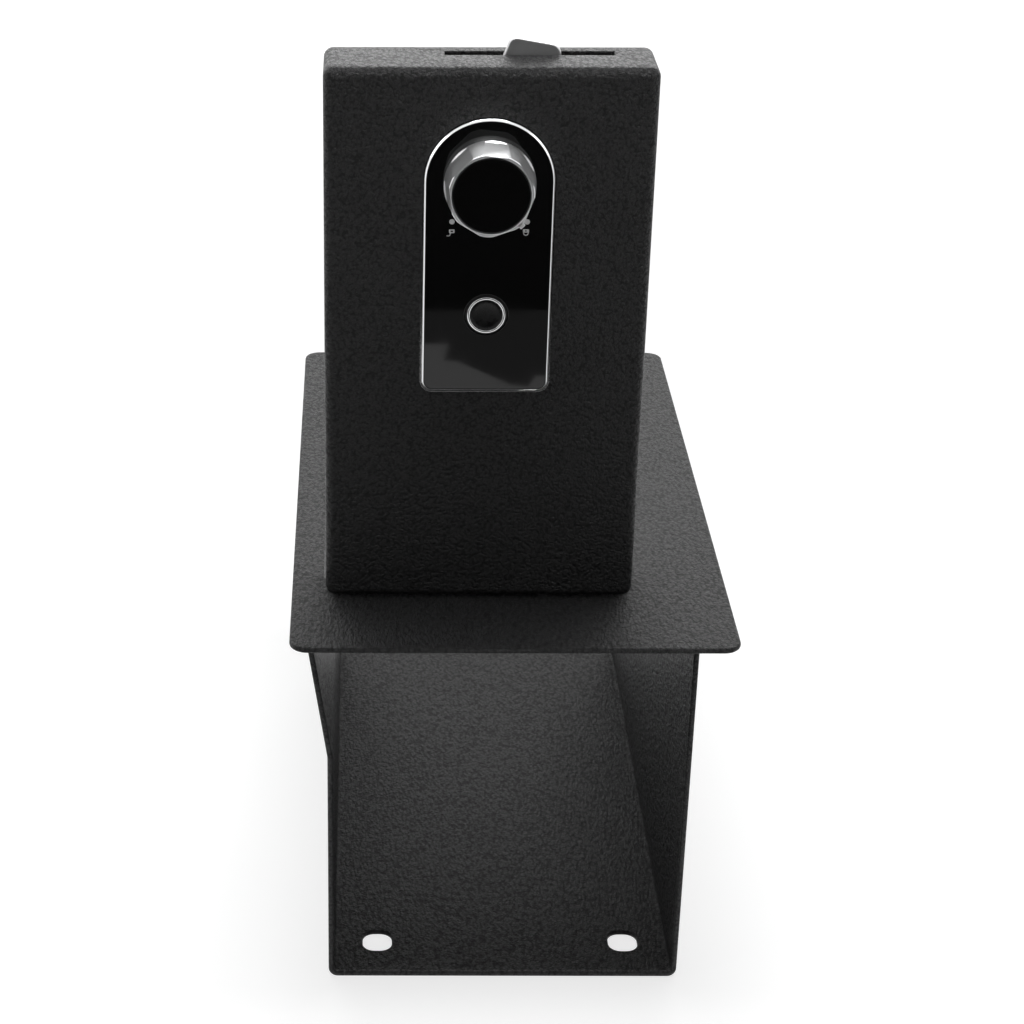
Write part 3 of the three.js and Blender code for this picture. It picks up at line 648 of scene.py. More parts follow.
def row_tree():
    inputs = {"Element": "NodeSocketObject", "Count": "NodeSocketInt", "Start": "NodeSocketVector"}
    inputs |= {"Pitch": "NodeSocketVector", "Material": "NodeSocketMaterial"}
    tree, entry, exit_node = new_tree("Pieces in a row", inputs)
    line = tree.nodes.new("GeometryNodeMeshLine")
    line.mode = "OFFSET"
    tree.links.new(entry.outputs["Count"], line.inputs["Count"])
    tree.links.new(entry.outputs["Start"], line.inputs["Start Location"])
    tree.links.new(entry.outputs["Pitch"], line.inputs["Offset"])
    return finish_tree(tree, entry, exit_node, line.outputs["Mesh"])


def places_tree():
    inputs = {"Element": "NodeSocketObject", "Material": "NodeSocketMaterial"}
    tree, entry, exit_node = new_tree("Pieces at places", inputs)
    return finish_tree(tree, entry, exit_node, entry.outputs["Geometry"])


def set_out(name, element, make_tree, values, slot, places=()):
    """Runs a tree on an element drawn at the origin, and returns the plain result."""
    label = make_tree.__name__
    tree = trees.get(label) or trees.setdefault(label, make_tree())
    part = piece_of("element", element)
    points = bpy.data.meshes.new(name)
    points.from_pydata([tuple(Vector(place) * MM) for place in places] or [(0, 0, 0)], [], [])
    piece = link(name, points)
    modifier = piece.modifiers.new("set out", "NODES")
    modifier.node_group = tree
    given = {**values, "Element": part, "Material": finish(slot)}
    for item in tree.interface.items_tree:
        if item.name in given:
            modifier[item.identifier] = given[item.name]
    applied(piece)
    discard(part)
    return piece


trees = {}


# Finishes


class Finish:
    """A material under construction. Its helpers add a node and return the output that is used."""

    def __init__(self, name):
        self.material = bpy.data.materials.new(name)
        self.material.use_nodes = True
        self.nodes = self.material.node_tree.nodes
        self.links = self.material.node_tree.links
        self.surface = self.nodes["Principled BSDF"]
        self.place = self.nodes.new("ShaderNodeTexCoord").outputs["Object"]

    def put(self, socket, value):
        if isinstance(value, bpy.types.NodeSocket):
            self.links.new(value, socket)
        else:
            socket.default_value = value

    def set(self, **values):
        for name, value in values.items():
            self.put(self.surface.inputs[name.replace("_", " ")], value)

    def node(self, kind, result, **values):
        node = self.nodes.new(kind)
        for name, value in values.items():
            label = name.replace("_", " ")
            if label in node.inputs:
                self.put(node.inputs[label], value)
            else:
                setattr(node, name, value)
        return node.outputs[result]

    def noise(self, scale, detail=2.0, roughness=0.5, place=None, result="Fac"):
        return self.node(
            "ShaderNodeTexNoise", result, Vector=place or self.place, Scale=scale, Detail=detail,
            Roughness=roughness,
        )

    def stretched(self, scale):
        """The place, drawn out along the axes whose scale is small."""
        node = self.nodes.new("ShaderNodeMapping")
        node.inputs["Scale"].default_value = scale
        self.put(node.inputs["Vector"], self.place)
        return node.outputs["Vector"]

    def wandered(self, place, scale, amount):
        """A place, pushed about by noise."""
        centred = self.nodes.new("ShaderNodeVectorMath")
        centred.operation = "SUBTRACT"
        self.put(centred.inputs[0], self.noise(scale, 2.0, result="Color"))
        self.put(centred.inputs[1], (0.5, 0.5, 0.5))
        moved = self.nodes.new("ShaderNodeVectorMath")
        moved.operation = "MULTIPLY_ADD"
        self.put(moved.inputs[0], centred.outputs["Vector"])
        self.put(moved.inputs[1], (2 * amount, 2 * amount, 2 * amount))
        self.put(moved.inputs[2], place)
        return moved.outputs["Vector"]

    def math(self, operation, a, b=0.0, c=0.0, clamp=False):
        node = self.nodes.new("ShaderNodeMath")
        node.operation = operation
        node.use_clamp = clamp
        for socket, value in zip(node.inputs, (a, b, c)):
            self.put(socket, value)
        return node.outputs[0]

    def span(self, value, low, high, to_low, to_high):
        node = self.nodes.new("ShaderNodeMapRange")
        for name, given in (("Value", value), ("From Min", low), ("From Max", high)):
            self.put(node.inputs[name], given)
        self.put(node.inputs["To Min"], to_low)
        self.put(node.inputs["To Max"], to_high)
        return node.outputs["Result"]

    def mix(self, share, a, b):
        node = self.nodes.new("ShaderNodeMix")
        node.data_type = "RGBA"
        self.put(node.inputs["Factor"], share)
        self.put(node.inputs[6], a)
        self.put(node.inputs[7], b)
        return node.outputs[2]

    def bump(self, height, distance, strength=1.0):
        node = self.nodes.new("ShaderNodeBump")
        self.put(node.inputs["Height"], height)
        self.put(node.inputs["Distance"], distance)
        self.put(node.inputs["Strength"], strength)
        return node.outputs["Normal"]

    def split(self):
        """The place's three coordinates."""
        node = self.nodes.new("ShaderNodeSeparateXYZ")
        self.put(node.inputs["Vector"], self.place)
        return node.outputs


def wrinkle_coat():
    """Powder coat that dried into low pebbles with creases between them.

    Under the flange it reflects less, a painted shade, and on the channel's front edges it reflects more, a
    painted sheen.
    """
    coat = bpy.context.scene.safe_coat
    made = Finish("wrinkle_coat")
    drawn_out = made.stretched((1.0, coat.stretch, 1.0))
    bent = made.wandered(drawn_out, 0.8 / coat.grain, coat.grain * 0.7)
    pushed = made.wandered(bent, 3.2 / coat.grain, coat.grain * 0.28)
    cells = made.node(
        "ShaderNodeTexVoronoi", "Distance", feature="SMOOTH_F1", Vector=pushed, Scale=1 / coat.grain,
        Smoothness=0.12,
    )
    fine = made.noise(3.4 / coat.grain, 2.0, 0.65, drawn_out)
    swell = made.noise(0.4 / coat.grain, 2.0, 0.5)
    drift = made.noise(14, 3.0, 0.55)
    hollows = made.math("POWER", made.math("MULTIPLY", cells, 1.35), 2.0)
    domes = made.math("SUBTRACT", 1.0, hollows, clamp=True)
    height = made.math("MULTIPLY_ADD", fine, 1.1, domes)
    height = made.math("ADD", height, swell)
    # The grain's tops get the lighter colour, a painted highlight, in patches of random tone; the creases keep the
    # darker colour, a painted shade.
    speckle = made.math("MULTIPLY", domes, made.span(fine, 0.32, 0.52, 0.0, 1.0))
    painted_highlight_patches = made.math("MULTIPLY", speckle, made.span(drift, 0.35, 0.65, 0.75, 1.0))
    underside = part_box("top_flange")[0].z
    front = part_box("body_channel")[0].y
    _, y, z = made.split()
    # Painted light: the coat reflects more on the channel's front edges, a painted sheen, and less deeper inside
    # under the flange, a painted shade.
    edge_sheen, thin_paint_and_shade = 1.7, 0.68
    inside = made.span(y, front + 0.0004, front + 0.003, edge_sheen, thin_paint_and_shade)
    thickness_and_coat_light = made.mix(made.math("LESS_THAN", z, underside), (1.0, 1.0, 1.0, 1), inside)
    gloss = made.span(speckle, 0.0, 0.6, 0.155, 0.275)
    made.set(
        Base_Color=made.mix(painted_highlight_patches, tuple(coat.color), tuple(coat.painted_top_highlight)),
        Roughness=made.span(speckle, 0.0, 0.7, coat.roughness + 0.14, coat.roughness),
        Specular_IOR_Level=made.math("MULTIPLY", thickness_and_coat_light, gloss),
        Normal=made.bump(height, coat.depth),
    )
    return made.material


def chrome():
    lock = bpy.context.scene.safe_lock
    made = Finish("polished_chrome")
    haze = made.noise(900, 3.0, 0.6)
    made.set(
        Base_Color=tuple(lock.chrome_color),
        Metallic=1.0,
        Roughness=made.span(haze, 0.3, 0.7, 0.07, 0.13),
        Normal=made.bump(made.noise(260, 1.0), 0.00002, 0.25),
    )
    return made.material


def satin_chrome():
    """The knob's chrome, faintly brushed round its axis."""
    lock = bpy.context.scene.safe_lock
    made = Finish("satin_chrome")
    lines = made.noise(6000, 2.0, 0.6, made.stretched((0.06, 1.0, 0.06)))
    made.set(
        Base_Color=tuple(lock.satin_color),
        Metallic=1.0,
        Roughness=made.span(lines, 0.3, 0.7, 0.34, 0.44),
    )
    return made.material


def gloss_black():
    made = Finish("gloss_black")
    smears = made.noise(35, 4.0, 0.6)
    made.set(
        Base_Color=made.mix(smears, (0.006, 0.006, 0.0062, 1), (0.0078, 0.0078, 0.008, 1)),
        Roughness=made.span(smears, 0.35, 0.7, 0.02, 0.05),
        Specular_IOR_Level=0.45,
    )
    return made.material


def sensor_glass():
    made = Finish("sensor_glass")
    grease = made.noise(420, 5.0, 0.65)
    made.set(
        Base_Color=made.mix(grease, (0.003, 0.003, 0.0033, 1), (0.0052, 0.0052, 0.0056, 1)),
        Roughness=made.span(grease, 0.3, 0.7, 0.22, 0.36),
        Specular_IOR_Level=0.28,
    )
    return made.material


def steel(name, color, dark, roughness, along):
    """Plated steel with fine lines along one axis."""
    made = Finish(name)
    axes = [1.0, 1.0, 1.0]
    axes[along] = 0.05
    lines = made.noise(5200, 2.0, 0.6, made.stretched(axes))
    bloom = made.noise(120, 4.0, 0.6)
    made.set(
        Base_Color=made.mix(bloom, (*dark, 1), (*color, 1)),
        Metallic=1.0,
        Roughness=made.span(lines, 0.3, 0.7, roughness - 0.06, roughness + 0.1),
        Normal=made.bump(lines, 0.00002, 0.5),
    )
    return made.material


def zinc_steel():
    return steel("zinc_steel", (0.5, 0.5, 0.5), (0.36, 0.36, 0.37), 0.34, 0)


def latch_steel():
    return steel("latch_steel", (0.74, 0.74, 0.745), (0.6, 0.6, 0.605), 0.48, 2)


def brass():
    return steel("turned_brass", (0.62, 0.46, 0.2), (0.45, 0.32, 0.13), 0.26, 1)


def black_plastic():
    """Plastic with a fine moulded grain."""
    made = Finish("moulded_plastic")
    grain = made.noise(2600, 3.0, 0.6)
    made.set(
        Base_Color=made.mix(grain, (0.012, 0.012, 0.0125, 1), (0.021, 0.021, 0.0215, 1)),
        Roughness=made.span(grain, 0.3, 0.7, 0.44, 0.58),
        Specular_IOR_Level=0.4,
        Normal=made.bump(grain, 0.00004, 0.7),
    )
    return made.material


def circuit_board():
    """Green solder mask with faint copper tracks under it."""
    made = Finish("solder_mask")
    x, _, z = made.split()
    across = made.math("PINGPONG", x, 0.0011)
    up = made.math("PINGPONG", z, 0.0017)
    track = made.math("LESS_THAN", across, 0.00022)
    bar = made.math("LESS_THAN", up, 0.00018)
    drawn = made.math("MAXIMUM", track, bar)
    patch = made.math("GREATER_THAN", made.noise(160, 0.0), 0.5)
    tracks = made.math("MULTIPLY", drawn, patch)
    made.set(
        Base_Color=made.mix(tracks, (0.012, 0.09, 0.03, 1), (0.035, 0.17, 0.06, 1)),
        Roughness=made.span(made.noise(700), 0.3, 0.7, 0.28, 0.4),
        Normal=made.bump(tracks, 0.00003),
    )
    return made.material


def copper_winding():
    """Turns of enamelled wire, stacked upwards, darker in the grooves between them, a painted shade, and lighter
    on their crowns, a painted highlight.
    """
    made = Finish("copper_winding")
    turns = made.math("SINE", made.math("MULTIPLY", made.split()[2], 2 * math.pi / 0.0005))
    painted_groove_shade = made.span(turns, -1.0, 1.0, 0.0, 1.0)
    made.set(
        Base_Color=made.mix(painted_groove_shade, (0.16, 0.055, 0.02, 1), (0.46, 0.2, 0.08, 1)),
        Metallic=0.7,
        Roughness=made.span(made.noise(900), 0.3, 0.7, 0.26, 0.4),
        Normal=made.bump(painted_groove_shade, 0.00012),
    )
    return made.material


def cell_wrap():
    """Plain blue sleeve with a bare metal band at each end of the cells."""
    made = Finish("cell_sleeve")
    low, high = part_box("battery_1")
    z = made.split()[2]
    below = made.math("LESS_THAN", z, low.z + CELL_BAND)
    above = made.math("GREATER_THAN", z, high.z - CELL_BAND)
    bare = made.math("MAXIMUM", below, above)
    scuffs = made.noise(500, 4.0, 0.6)
    sleeve = made.mix(scuffs, (0.02, 0.06, 0.16, 1), (0.032, 0.085, 0.2, 1))
    made.set(
        Base_Color=made.mix(bare, sleeve, (0.55, 0.55, 0.54, 1)),
        Metallic=bare,
        Roughness=made.span(scuffs, 0.3, 0.7, 0.24, 0.36),
    )
    return made.material


def lead_rubber():
    made = Finish("lead_rubber")
    dust = made.noise(1500, 3.0)
    made.set(
        Base_Color=made.mix(dust, (0.12, 0.008, 0.008, 1), (0.17, 0.014, 0.013, 1)),
        Roughness=made.span(dust, 0.3, 0.7, 0.42, 0.56),
        Normal=made.bump(dust, 0.00003),
    )
    return made.material


def mark_paint():
    lock = bpy.context.scene.safe_lock
    made = Finish("mark_paint")
    thin_paint_and_shade = made.noise(3000, 2.0)
    dull = tuple(channel * 0.94 for channel in lock.mark_color[:3])
    made.set(
        Base_Color=made.mix(thin_paint_and_shade, (*dull, 1), tuple(lock.mark_color)),
        Roughness=made.span(thin_paint_and_shade, 0.3, 0.7, 0.4, 0.55),
    )
    return made.material


FINISHES = {
    "powder_coat": wrinkle_coat,
    "zinc_steel": zinc_steel,
    "latch_steel": latch_steel,
    "chrome": chrome,
    "satin_chrome": satin_chrome,
    "brass": brass,
    "gloss_black": gloss_black,
    "sensor_window": sensor_glass,
    "black_plastic": black_plastic,
    "circuit_board": circuit_board,
    "solenoid_coil": copper_winding,
    "cell_wrap": cell_wrap,
    "lead_rubber": lead_rubber,
    "marks": mark_paint,
}
made_finishes = {}


def finish(slot):
    if slot not in made_finishes:
        made_finishes[slot] = FINISHES[slot]()
    return made_finishes[slot]


# Box


def flange_opening():
    """Low and high corners of the opening in the flange, seen from above."""
    lid = bpy.context.scene.safe_lid
    low, high = box_mm("lid_shell")
    axis = joint_place("lid_hinge")
    barrel = box_mm("hinge_leaf_fixed")[1].z - axis.z
    gap = mm(lid.side_gap)
    swing = math.hypot(high.z - axis.z, high.y - axis.y)
    front = axis.y - barrel - mm(lid.knuckle_gap)
    return (low.x - gap, front), (high.x + gap, axis.y + swing + mm(lid.sweep_gap))


def flare_lean():
    steel_size = bpy.context.scene.safe_steel
    underside = box_mm("top_flange")[0].z
    return mm(steel_size.flare_reach) / (underside - mm(steel_size.flare_height))


class SAFE_OT_flange(bpy.types.Operator):
    """Makes the flange plate with the opening for the lid"""

    bl_idname = "console_safe.flange"
    bl_label = "Flange"

    def execute(self, context):
        size = context.scene.safe_steel
        low, high = box_mm("top_flange")
        outer = rounded_rect(low[:2], high[:2], mm(size.flange_corner))
        corner = mm(context.scene.safe_lid.corner) - mm(context.scene.safe_lid.side_gap)
        opening = hole(rounded_rect(*flange_opening(), corner))
        sheet = plate([outer, opening], low.z, high.z, mm(size.edge))
        dress(piece_of("flange_plate", sheet), "root", "powder_coat", ["top_flange"])
        return {"FINISHED"}


class SAFE_OT_channel(bpy.types.Operator):
    """Folds the channel with its leaning left wall and fixing slots"""

    bl_idname = "console_safe.channel"
    bl_label = "Channel"

    def execute(self, context):
        size = context.scene.safe_steel
        low, high = box_mm("body_channel")
        sheet = mm(size.sheet)
        underside = high.z
        middle = sheet / 2
        right = high.x - middle
        left = -right
        top = underside + 2 * sheet
        lean = (top - mm(size.flare_height)) * flare_lean()
        corners = [(left - lean, top), (left, mm(size.flare_height)), (left, middle)]
        corners += [(right, middle), (right, top)]
        bend = mm(size.bend) - middle
        radii = [mm(size.flare_bend) - middle, bend, bend]
        stations = fold_stations(corners, radii, 8)
        whole = stations[-1][0]
        floor_start = next(s for s in stations if abs(s[1].y - middle) < 1e-6)
        outlines = [rounded_rect((0, low.y), (whole, high.y), 0)]
        for node_opening in ("floor_slot_left", "floor_slot_right"):
            x, y = opening_middle(node_opening)
            along = floor_start[0] + x - floor_start[1].x
            half = Vector((mm(size.slot_width), mm(size.slot_length))) / 2
            centre = Vector((along, y))
            outlines.append(hole(rounded_rect(centre - half, centre + half, mm(size.slot_corner))))
        bm = folded(outlines, sheet, mm(size.edge), corners, radii, facing)
        geometry = bm.verts[:] + bm.edges[:] + bm.faces[:]
        bmesh.ops.bisect_plane(
            bm, geom=geometry, plane_co=(0, 0, underside), plane_no=(0, 0, 1), clear_outer=True
        )
        rim = [edge for edge in bm.edges if edge.is_boundary]
        bmesh.ops.holes_fill(bm, edges=rim, sides=0)
        bmesh.ops.recalc_face_normals(bm, faces=bm.faces)
        dress(piece_of("channel", bm), "root", "powder_coat", ["body_channel"])
        return {"FINISHED"}


def opening_middle(name):
    """Middle of one of the record's openings, seen from above, in millimetres."""
    openings = frame["record"]["physics"]["openings"]
    low, high = next(opening["box_m"] for opening in openings if opening["name"] == name)
    return (low[0] + high[0]) / 2 / MM, (low[1] + high[1]) / 2 / MM


class SAFE_OT_rest_tabs(bpy.types.Operator):
    """Bends the two tabs that the closed lid rests on"""

    bl_idname = "console_safe.rest_tabs"
    bl_label = "Lid rest tabs"

    def execute(self, context):
        opening = flange_opening()
        for side, node in ((-1, "lid_rest_tab_left"), (1, "lid_rest_tab_right")):
            low, high = box_mm(node)
            outer, inner = (low.x, high.x) if side < 0 else (high.x, low.x)
            edge = opening[0][0] if side < 0 else opening[1][0]
            sheet = abs(outer - edge) - FIT
            middle = sheet / 2
            corners = [(outer - side * middle, high.z), (outer - side * middle, low.z + middle)]
            corners.append((inner, low.z + middle))
            blank_length = fold_stations(corners, [sheet], 6)[-1][0]
            blank = [(0, low.y), (blank_length, low.y), (blank_length, high.y), (0, high.y)]
            outline = rounded_polygon(blank, [0, 2, 2, 0], 4)
            bm = folded([outline], sheet, 0.3, corners, [sheet], facing, 6)
            piece = link(f"rest_tab_{'left' if side < 0 else 'right'}", mesh_of(bm, node))
            dress(piece, "root", "powder_coat", [node])
        return {"FINISHED"}


# Hinge


class SAFE_OT_hinge(bpy.types.Operator):
    """Makes the hinge: two leaves with their knuckles in turn, and the pin"""

    bl_idname = "console_safe.hinge"
    bl_label = "Hinge"

    def execute(self, context):
        axis = joint_place("lid_hinge")
        fixed_low, fixed_high = box_mm("hinge_leaf_fixed")
        far_end = box_mm("hinge_leaf_moving")[1]
        seam = fixed_high.z - axis.z + FIT
        front = (fixed_low.y, axis.z - HINGE_LEAF, axis.y - seam, axis.z)
        rear = (axis.y + seam, far_end.z - HINGE_LEAF, far_end.y, far_end.z)
        self.leaf("hinge_leaf_front", "root", "hinge_leaf_fixed", 0, front)
        self.leaf("hinge_leaf_rear", "lid", "hinge_leaf_moving", 1, rear)
        self.pin(axis)
        return {"FINISHED"}

    def leaf(self, name, body, node, first, section):
        """A leaf with every other knuckle; first is the number of knuckles before its own."""
        lid = bpy.context.scene.safe_lid
        axis = joint_place("lid_hinge")
        low, high = box_mm("hinge_leaf_fixed")
        near, bottom, far, top = section
        gap = mm(lid.knuckle_gap)
        length = (high.x - low.x - (lid.knuckles - 1) * gap) / lid.knuckles
        barrel = high.z - axis.z
        bore = HINGE_PIN + FIT
        path = edge_path(0, length, 0.25)
        tube = skin([(circle((0, 0), barrel), path), (hole(circle((0, 0), bore)), path)], endwise)
        toward = 1 if first else -1
        web_near, web_far = sorted((toward * (bore + 0.05), toward * (barrel + 0.6)))
        web = rounded_rect((web_near, bottom - axis.z), (web_far, top - axis.z), 0)
        knuckle = add(tube, plate([web], 0, length, 0.1, endwise))
        start = Vector((low.x + first * (length + gap), axis.y, axis.z)) * MM
        pitch = Vector((2 * (length + gap), 0, 0)) * MM
        values = {"Count": (lid.knuckles - first + 1) // 2, "Start": start, "Pitch": pitch}
        row = set_out(name, knuckle, row_tree, values, "zinc_steel")
        sheet = plate([rounded_rect((low.x, near), (high.x, far), 0.6, 3)], bottom, top, 0.2)
        join_mesh(row, sheet)
        dress(row, body, "zinc_steel", [node])

    def pin(self, axis):
        low, high = box_mm("hinge_pin")
        head, thickness_and_coat_light = HINGE_HEAD
        profile = [(0, low.x), (head, low.x), (head, low.x + thickness_and_coat_light), (HINGE_PIN, low.x + thickness_and_coat_light)]
        profile += [(HINGE_PIN, high.x - thickness_and_coat_light), (head, high.x - thickness_and_coat_light), (head, high.x), (0, high.x)]
        rod = turned_along_x(softened(profile, 0.4), axis)
        dress(piece_of("hinge_rod", rod), "root", "zinc_steel", ["hinge_pin"])


def turned_along_x(profile, centre):
    """A turned solid whose axis is along X."""
    bm = turned(profile, Vector((0, 0, 0)), 8)
    bm.transform(Matrix(((0, 1, 0, 0), (1, 0, 0, centre.y), (0, 0, 1, centre.z), (0, 0, 0, 1))))
    bmesh.ops.recalc_face_normals(bm, faces=bm.faces)
    return bm


def join_mesh(piece, bm):
    """Adds a mesh in millimetres to a finished piece."""
    bm.transform(Matrix.Scale(MM, 4))
    whole = bmesh.new()
    whole.from_mesh(piece.data)
    add(whole, bm)
    whole.to_mesh(piece.data)
    whole.free()


# Lid


class SAFE_OT_lid(bpy.types.Operator):
    """Makes the lid pan with the latch's slot in its end"""

    bl_idname = "console_safe.lid"
    bl_label = "Lid"

    def execute(self, context):
        size = context.scene.safe_lid
        steel_size = context.scene.safe_steel
        low, high = box_mm("lid_shell")
        sheet = mm(steel_size.sheet)
        edge = mm(size.edge)
        steps = 8
        outline = rounded_rect((low.x, low.z), (high.x, high.z), mm(size.corner), steps)
        turns = [QUARTER * i / steps for i in range(steps + 1)]
        front = [(edge * (1 - math.sin(t)), low.y + edge * (1 - math.cos(t))) for t in turns]
        lip = sheet / 2 - 0.05
        inner_edge = edge - sheet
        floor = low.y + sheet
        coarse = turns[::2]
        back = [(lip * (1 - math.cos(t)), high.y - lip * (1 - math.sin(t))) for t in coarse]
        back += [(sheet - lip * (1 - math.sin(t)), high.y - lip * (1 - math.cos(t))) for t in coarse]
        inner = [
            (sheet + inner_edge * (1 - math.cos(t)), floor + inner_edge * (1 - math.sin(t)))
            for t in coarse
        ]
        loops = [(outline, front + back + inner)]
        through = [(0, low.y), (0, floor)]
        for centre, radius in self.holes():
            loops.append((hole(circle(centre, radius, 6)), through))
        pan = piece_of("lid_pan", skin(loops, facing))
        carve(pan, self.slot_cutter(high, sheet))
        dress(pan, "lid", "powder_coat", ["lid_shell"])
        return {"FINISHED"}

    def holes(self):
        """The holes behind the lock panel, each as its centre and radius."""
        knob = joint_place("knob_turn")
        sensor = middle_of("sensor_module")
        found = [((knob.x, knob.z), radius_of("spindle_bush") - BUSH_LIP + FIT)]
        found.append(((sensor.x, sensor.z), radius_of("sensor_module") + FIT))
        for middle in map(middle_of, four("panel_nut")):
            found.append(((middle.x, middle.z), THREAD + FIT))
        return found

    def slot_cutter(self, high, sheet):
        """The slot's shape, flared at the lid's outside so that its rim is soft."""
        arm_low, arm_high = box_mm("latch_arm")
        middle = middle_of("lid_shell").x
        left, right = (middle + end for end in LATCH_SLOT)
        front, rear = arm_low.y - 1.9, arm_high.y + 0.9
        soft = 0.35
        outline = rounded_rect((left, front), (right, rear), 0.4, 3)
        path = [(0, high.z - 2 * sheet), (0, high.z - soft)]
        for step in range(1, EDGE_STEPS + 1):
            turn = QUARTER * step / EDGE_STEPS
            path.append((-soft * (1 - math.cos(turn)), high.z - soft * (1 - math.sin(turn))))
        path.append((-soft, high.z + soft))
        return skin([(outline, path)], lying)


# Lock panel


def arch(inset_by):
    """Outline of the lock panel: a round arch above straight sides, small corners below."""
    low, high = box_mm("lock_frame")
    centre = Vector(((low.x + high.x) / 2, joint_place("knob_turn").z))
    radius = (high.x - low.x) / 2 - inset_by
    corner = mm(bpy.context.scene.safe_lock.panel_corner) - inset_by
    bottom = low.z + inset_by
    outline = arc((centre.x + radius - corner, bottom + corner), corner, -QUARTER, 0, 10)
    outline += arc(centre, radius, 0, 2 * QUARTER, 32)
    outline += arc((centre.x - radius + corner, bottom + corner), corner, 2 * QUARTER, 3 * QUARTER, 10)
    return outline


class SAFE_OT_lock_panel(bpy.types.Operator):
    """Makes the gloss panel, its chrome rim and its marks"""

    bl_idname = "console_safe.lock_panel"
    bl_label = "Lock panel"

    def execute(self, context):
        size = context.scene.safe_lock
        self.rim(size)
        self.panel()
        self.marks(size)
        return {"FINISHED"}

    def rim(self, size):
        """A rim that slopes outwards, above a low black edge that lies round it."""
        low, high = box_mm("lock_frame")
        black = mm(size.black_edge)
        crest = black + mm(size.rim)
        foot = high.y - 0.35
        outer = high.y - 0.45
        path = [(0, high.y), (0, foot), (black, foot), (black, low.y + 0.6), (black + 0.03, low.y + 0.53)]
        path += [(crest - 0.03, low.y + 0.03), (crest, low.y), (crest + 0.03, low.y + 0.04)]
        path += [(FRAME_WIDTH, high.y - 0.9), (FRAME_WIDTH, high.y)]
        self.ring(path, "panel_rim", "chrome", ["lock_frame"])
        path = [(0.03, foot - 0.02), (0.03, outer + 0.12), (0.15, outer), (black - 0.08, outer)]
        path.append((black - 0.08, foot - 0.02))
        self.ring(path, "panel_edge", "gloss_black", ())

    def ring(self, path, name, slot, stands_for):
        """A profile led round the panel's outline."""
        bm = bmesh.new()
        rows = [[bm.verts.new(facing(point, depth)) for point in arch(distance)] for distance, depth in path]
        for near, far in zip(rows, rows[1:] + rows[:1]):
            for i in range(len(near)):
                bm.faces.new((near[i - 1], near[i], far[i], far[i - 1])).smooth = True
        bmesh.ops.recalc_face_normals(bm, faces=bm.faces)
        piece = piece_of(name, bm)
        sharpen(piece, 35)
        dress(piece, "lid", slot, stands_for)

    def panel(self):
        """The glossy plate with its four studs."""
        front = box_mm("lock_panel")[0].y
        back = box_mm("lock_frame")[1].y
        knob = joint_place("knob_turn")
        sensor = middle_of("sensor_module")
        recess = circle((sensor.x, sensor.z), radius_of("sensor_module") + FIT, 20)
        bush = circle((knob.x, knob.z), radius_of("spindle_bush") - BUSH_LIP + FIT, 12)
        bm = plate([arch(FRAME_WIDTH + 0.05), hole(recess), hole(bush)], front, back, 0.25, facing)
        for middle in map(middle_of, four("panel_nut")):
            stud = [(0, front + 0.5), (THREAD, front + 0.5), (THREAD, back + 8), (0, back + 8)]
            add(bm, turned(softened(stud, 0.3), middle, 4))
        dress(piece_of("panel_plate", bm), "lid", "gloss_black", ["lock_panel"])

    def marks(self, size):
        """Two dots with an open padlock below the left one and a closed one below the right.

        Their middle lies a little right of the knob's axis.
        """
        front = box_mm("lock_panel")[0].y
        knob = joint_place("knob_turn")
        middle, height = knob.x + 0.4, knob.z - mm(size.mark_drop)
        bm = bmesh.new()
        for side, shapes in ((-1, self.open_padlock()), (1, self.closed_padlock())):
            dot = Vector((middle + side * mm(size.mark_across) / 2, height))
            shapes.append([circle((0, 0), mm(size.dot_radius), 8)])
            for outlines in shapes:
                placed = [[dot + point for point in outline] for outline in outlines]
                add(bm, plate(placed, front - 0.06, front + 0.05, 0.02, facing))
        dress(piece_of("panel_marks", bm), "lid", "gloss_black", (), finish("marks"))

    def open_padlock(self):
        """Its body, and a shackle that hangs out of it to the left."""
        keyhole = rounded_rect((-0.5, -4.65), (0.5, -4.0), 0.15, 4)
        body = [rounded_rect((-1.2, -5.1), (1.15, -3.4), 0.3, 4), hole(keyhole)]
        hook = [Vector((-0.6, -4.95)), Vector((-0.65, -5.4))]
        hook += arc((-1.55, -5.45), 0.9, 0, -2.3, 6)
        return [body, [stroke(hook, 0.38)]]

    def closed_padlock(self):
        """Its body, with the shackle below it."""
        keyhole = rounded_rect((-0.7, -4.35), (-0.1, -3.75), 0.15, 4)
        body = [rounded_rect((-1.7, -4.8), (0.9, -3.3), 0.3, 4), hole(keyhole)]
        loop = arc((-0.4, -5.0), 0.98, -2 * QUARTER, 0, 8)
        return [body, [stroke([Vector((-1.38, -4.7))] + loop + [Vector((0.58, -4.7))], 0.38)]]


# Sensor


class SAFE_OT_sensor(bpy.types.Operator):
    """Makes the fingerprint sensor's ring, window and body"""

    bl_idname = "console_safe.sensor"
    bl_label = "Fingerprint sensor"

    def execute(self, context):
        low, high = box_mm("sensor_ring")
        centre = middle_of("sensor_ring")
        reach = radius_of("sensor_window")
        inner, outer = reach + 0.15, radius_of("sensor_ring")
        ring = softened([(inner, high.y), (inner, low.y), (outer, low.y), (outer, high.y)], 0.5, 6)
        dress(piece_of("sensor_bezel", turned(ring, centre)), "lid", "chrome", ["sensor_ring"])
        low, high = box_mm("sensor_window")
        dish = [(0, low.y + 0.35), (reach * 0.4, low.y + 0.31), (reach * 0.75, low.y + 0.18)]
        dish += [(reach * 0.93, low.y), (reach, low.y + 0.15), (reach, high.y), (0, high.y)]
        dress(piece_of("sensor_glass", turned(dish, centre)), "lid", "sensor_window", ["sensor_window"])
        low, high = box_mm("sensor_module")
        radius = radius_of("sensor_module")
        body = [(0, low.y), (radius, low.y), (radius, high.y), (0, high.y)]
        bm = turned(softened(body, 0.25), centre)
        dress(piece_of("sensor_body", bm), "lid", "black_plastic", ["sensor_module"])
        return {"FINISHED"}


# Knob


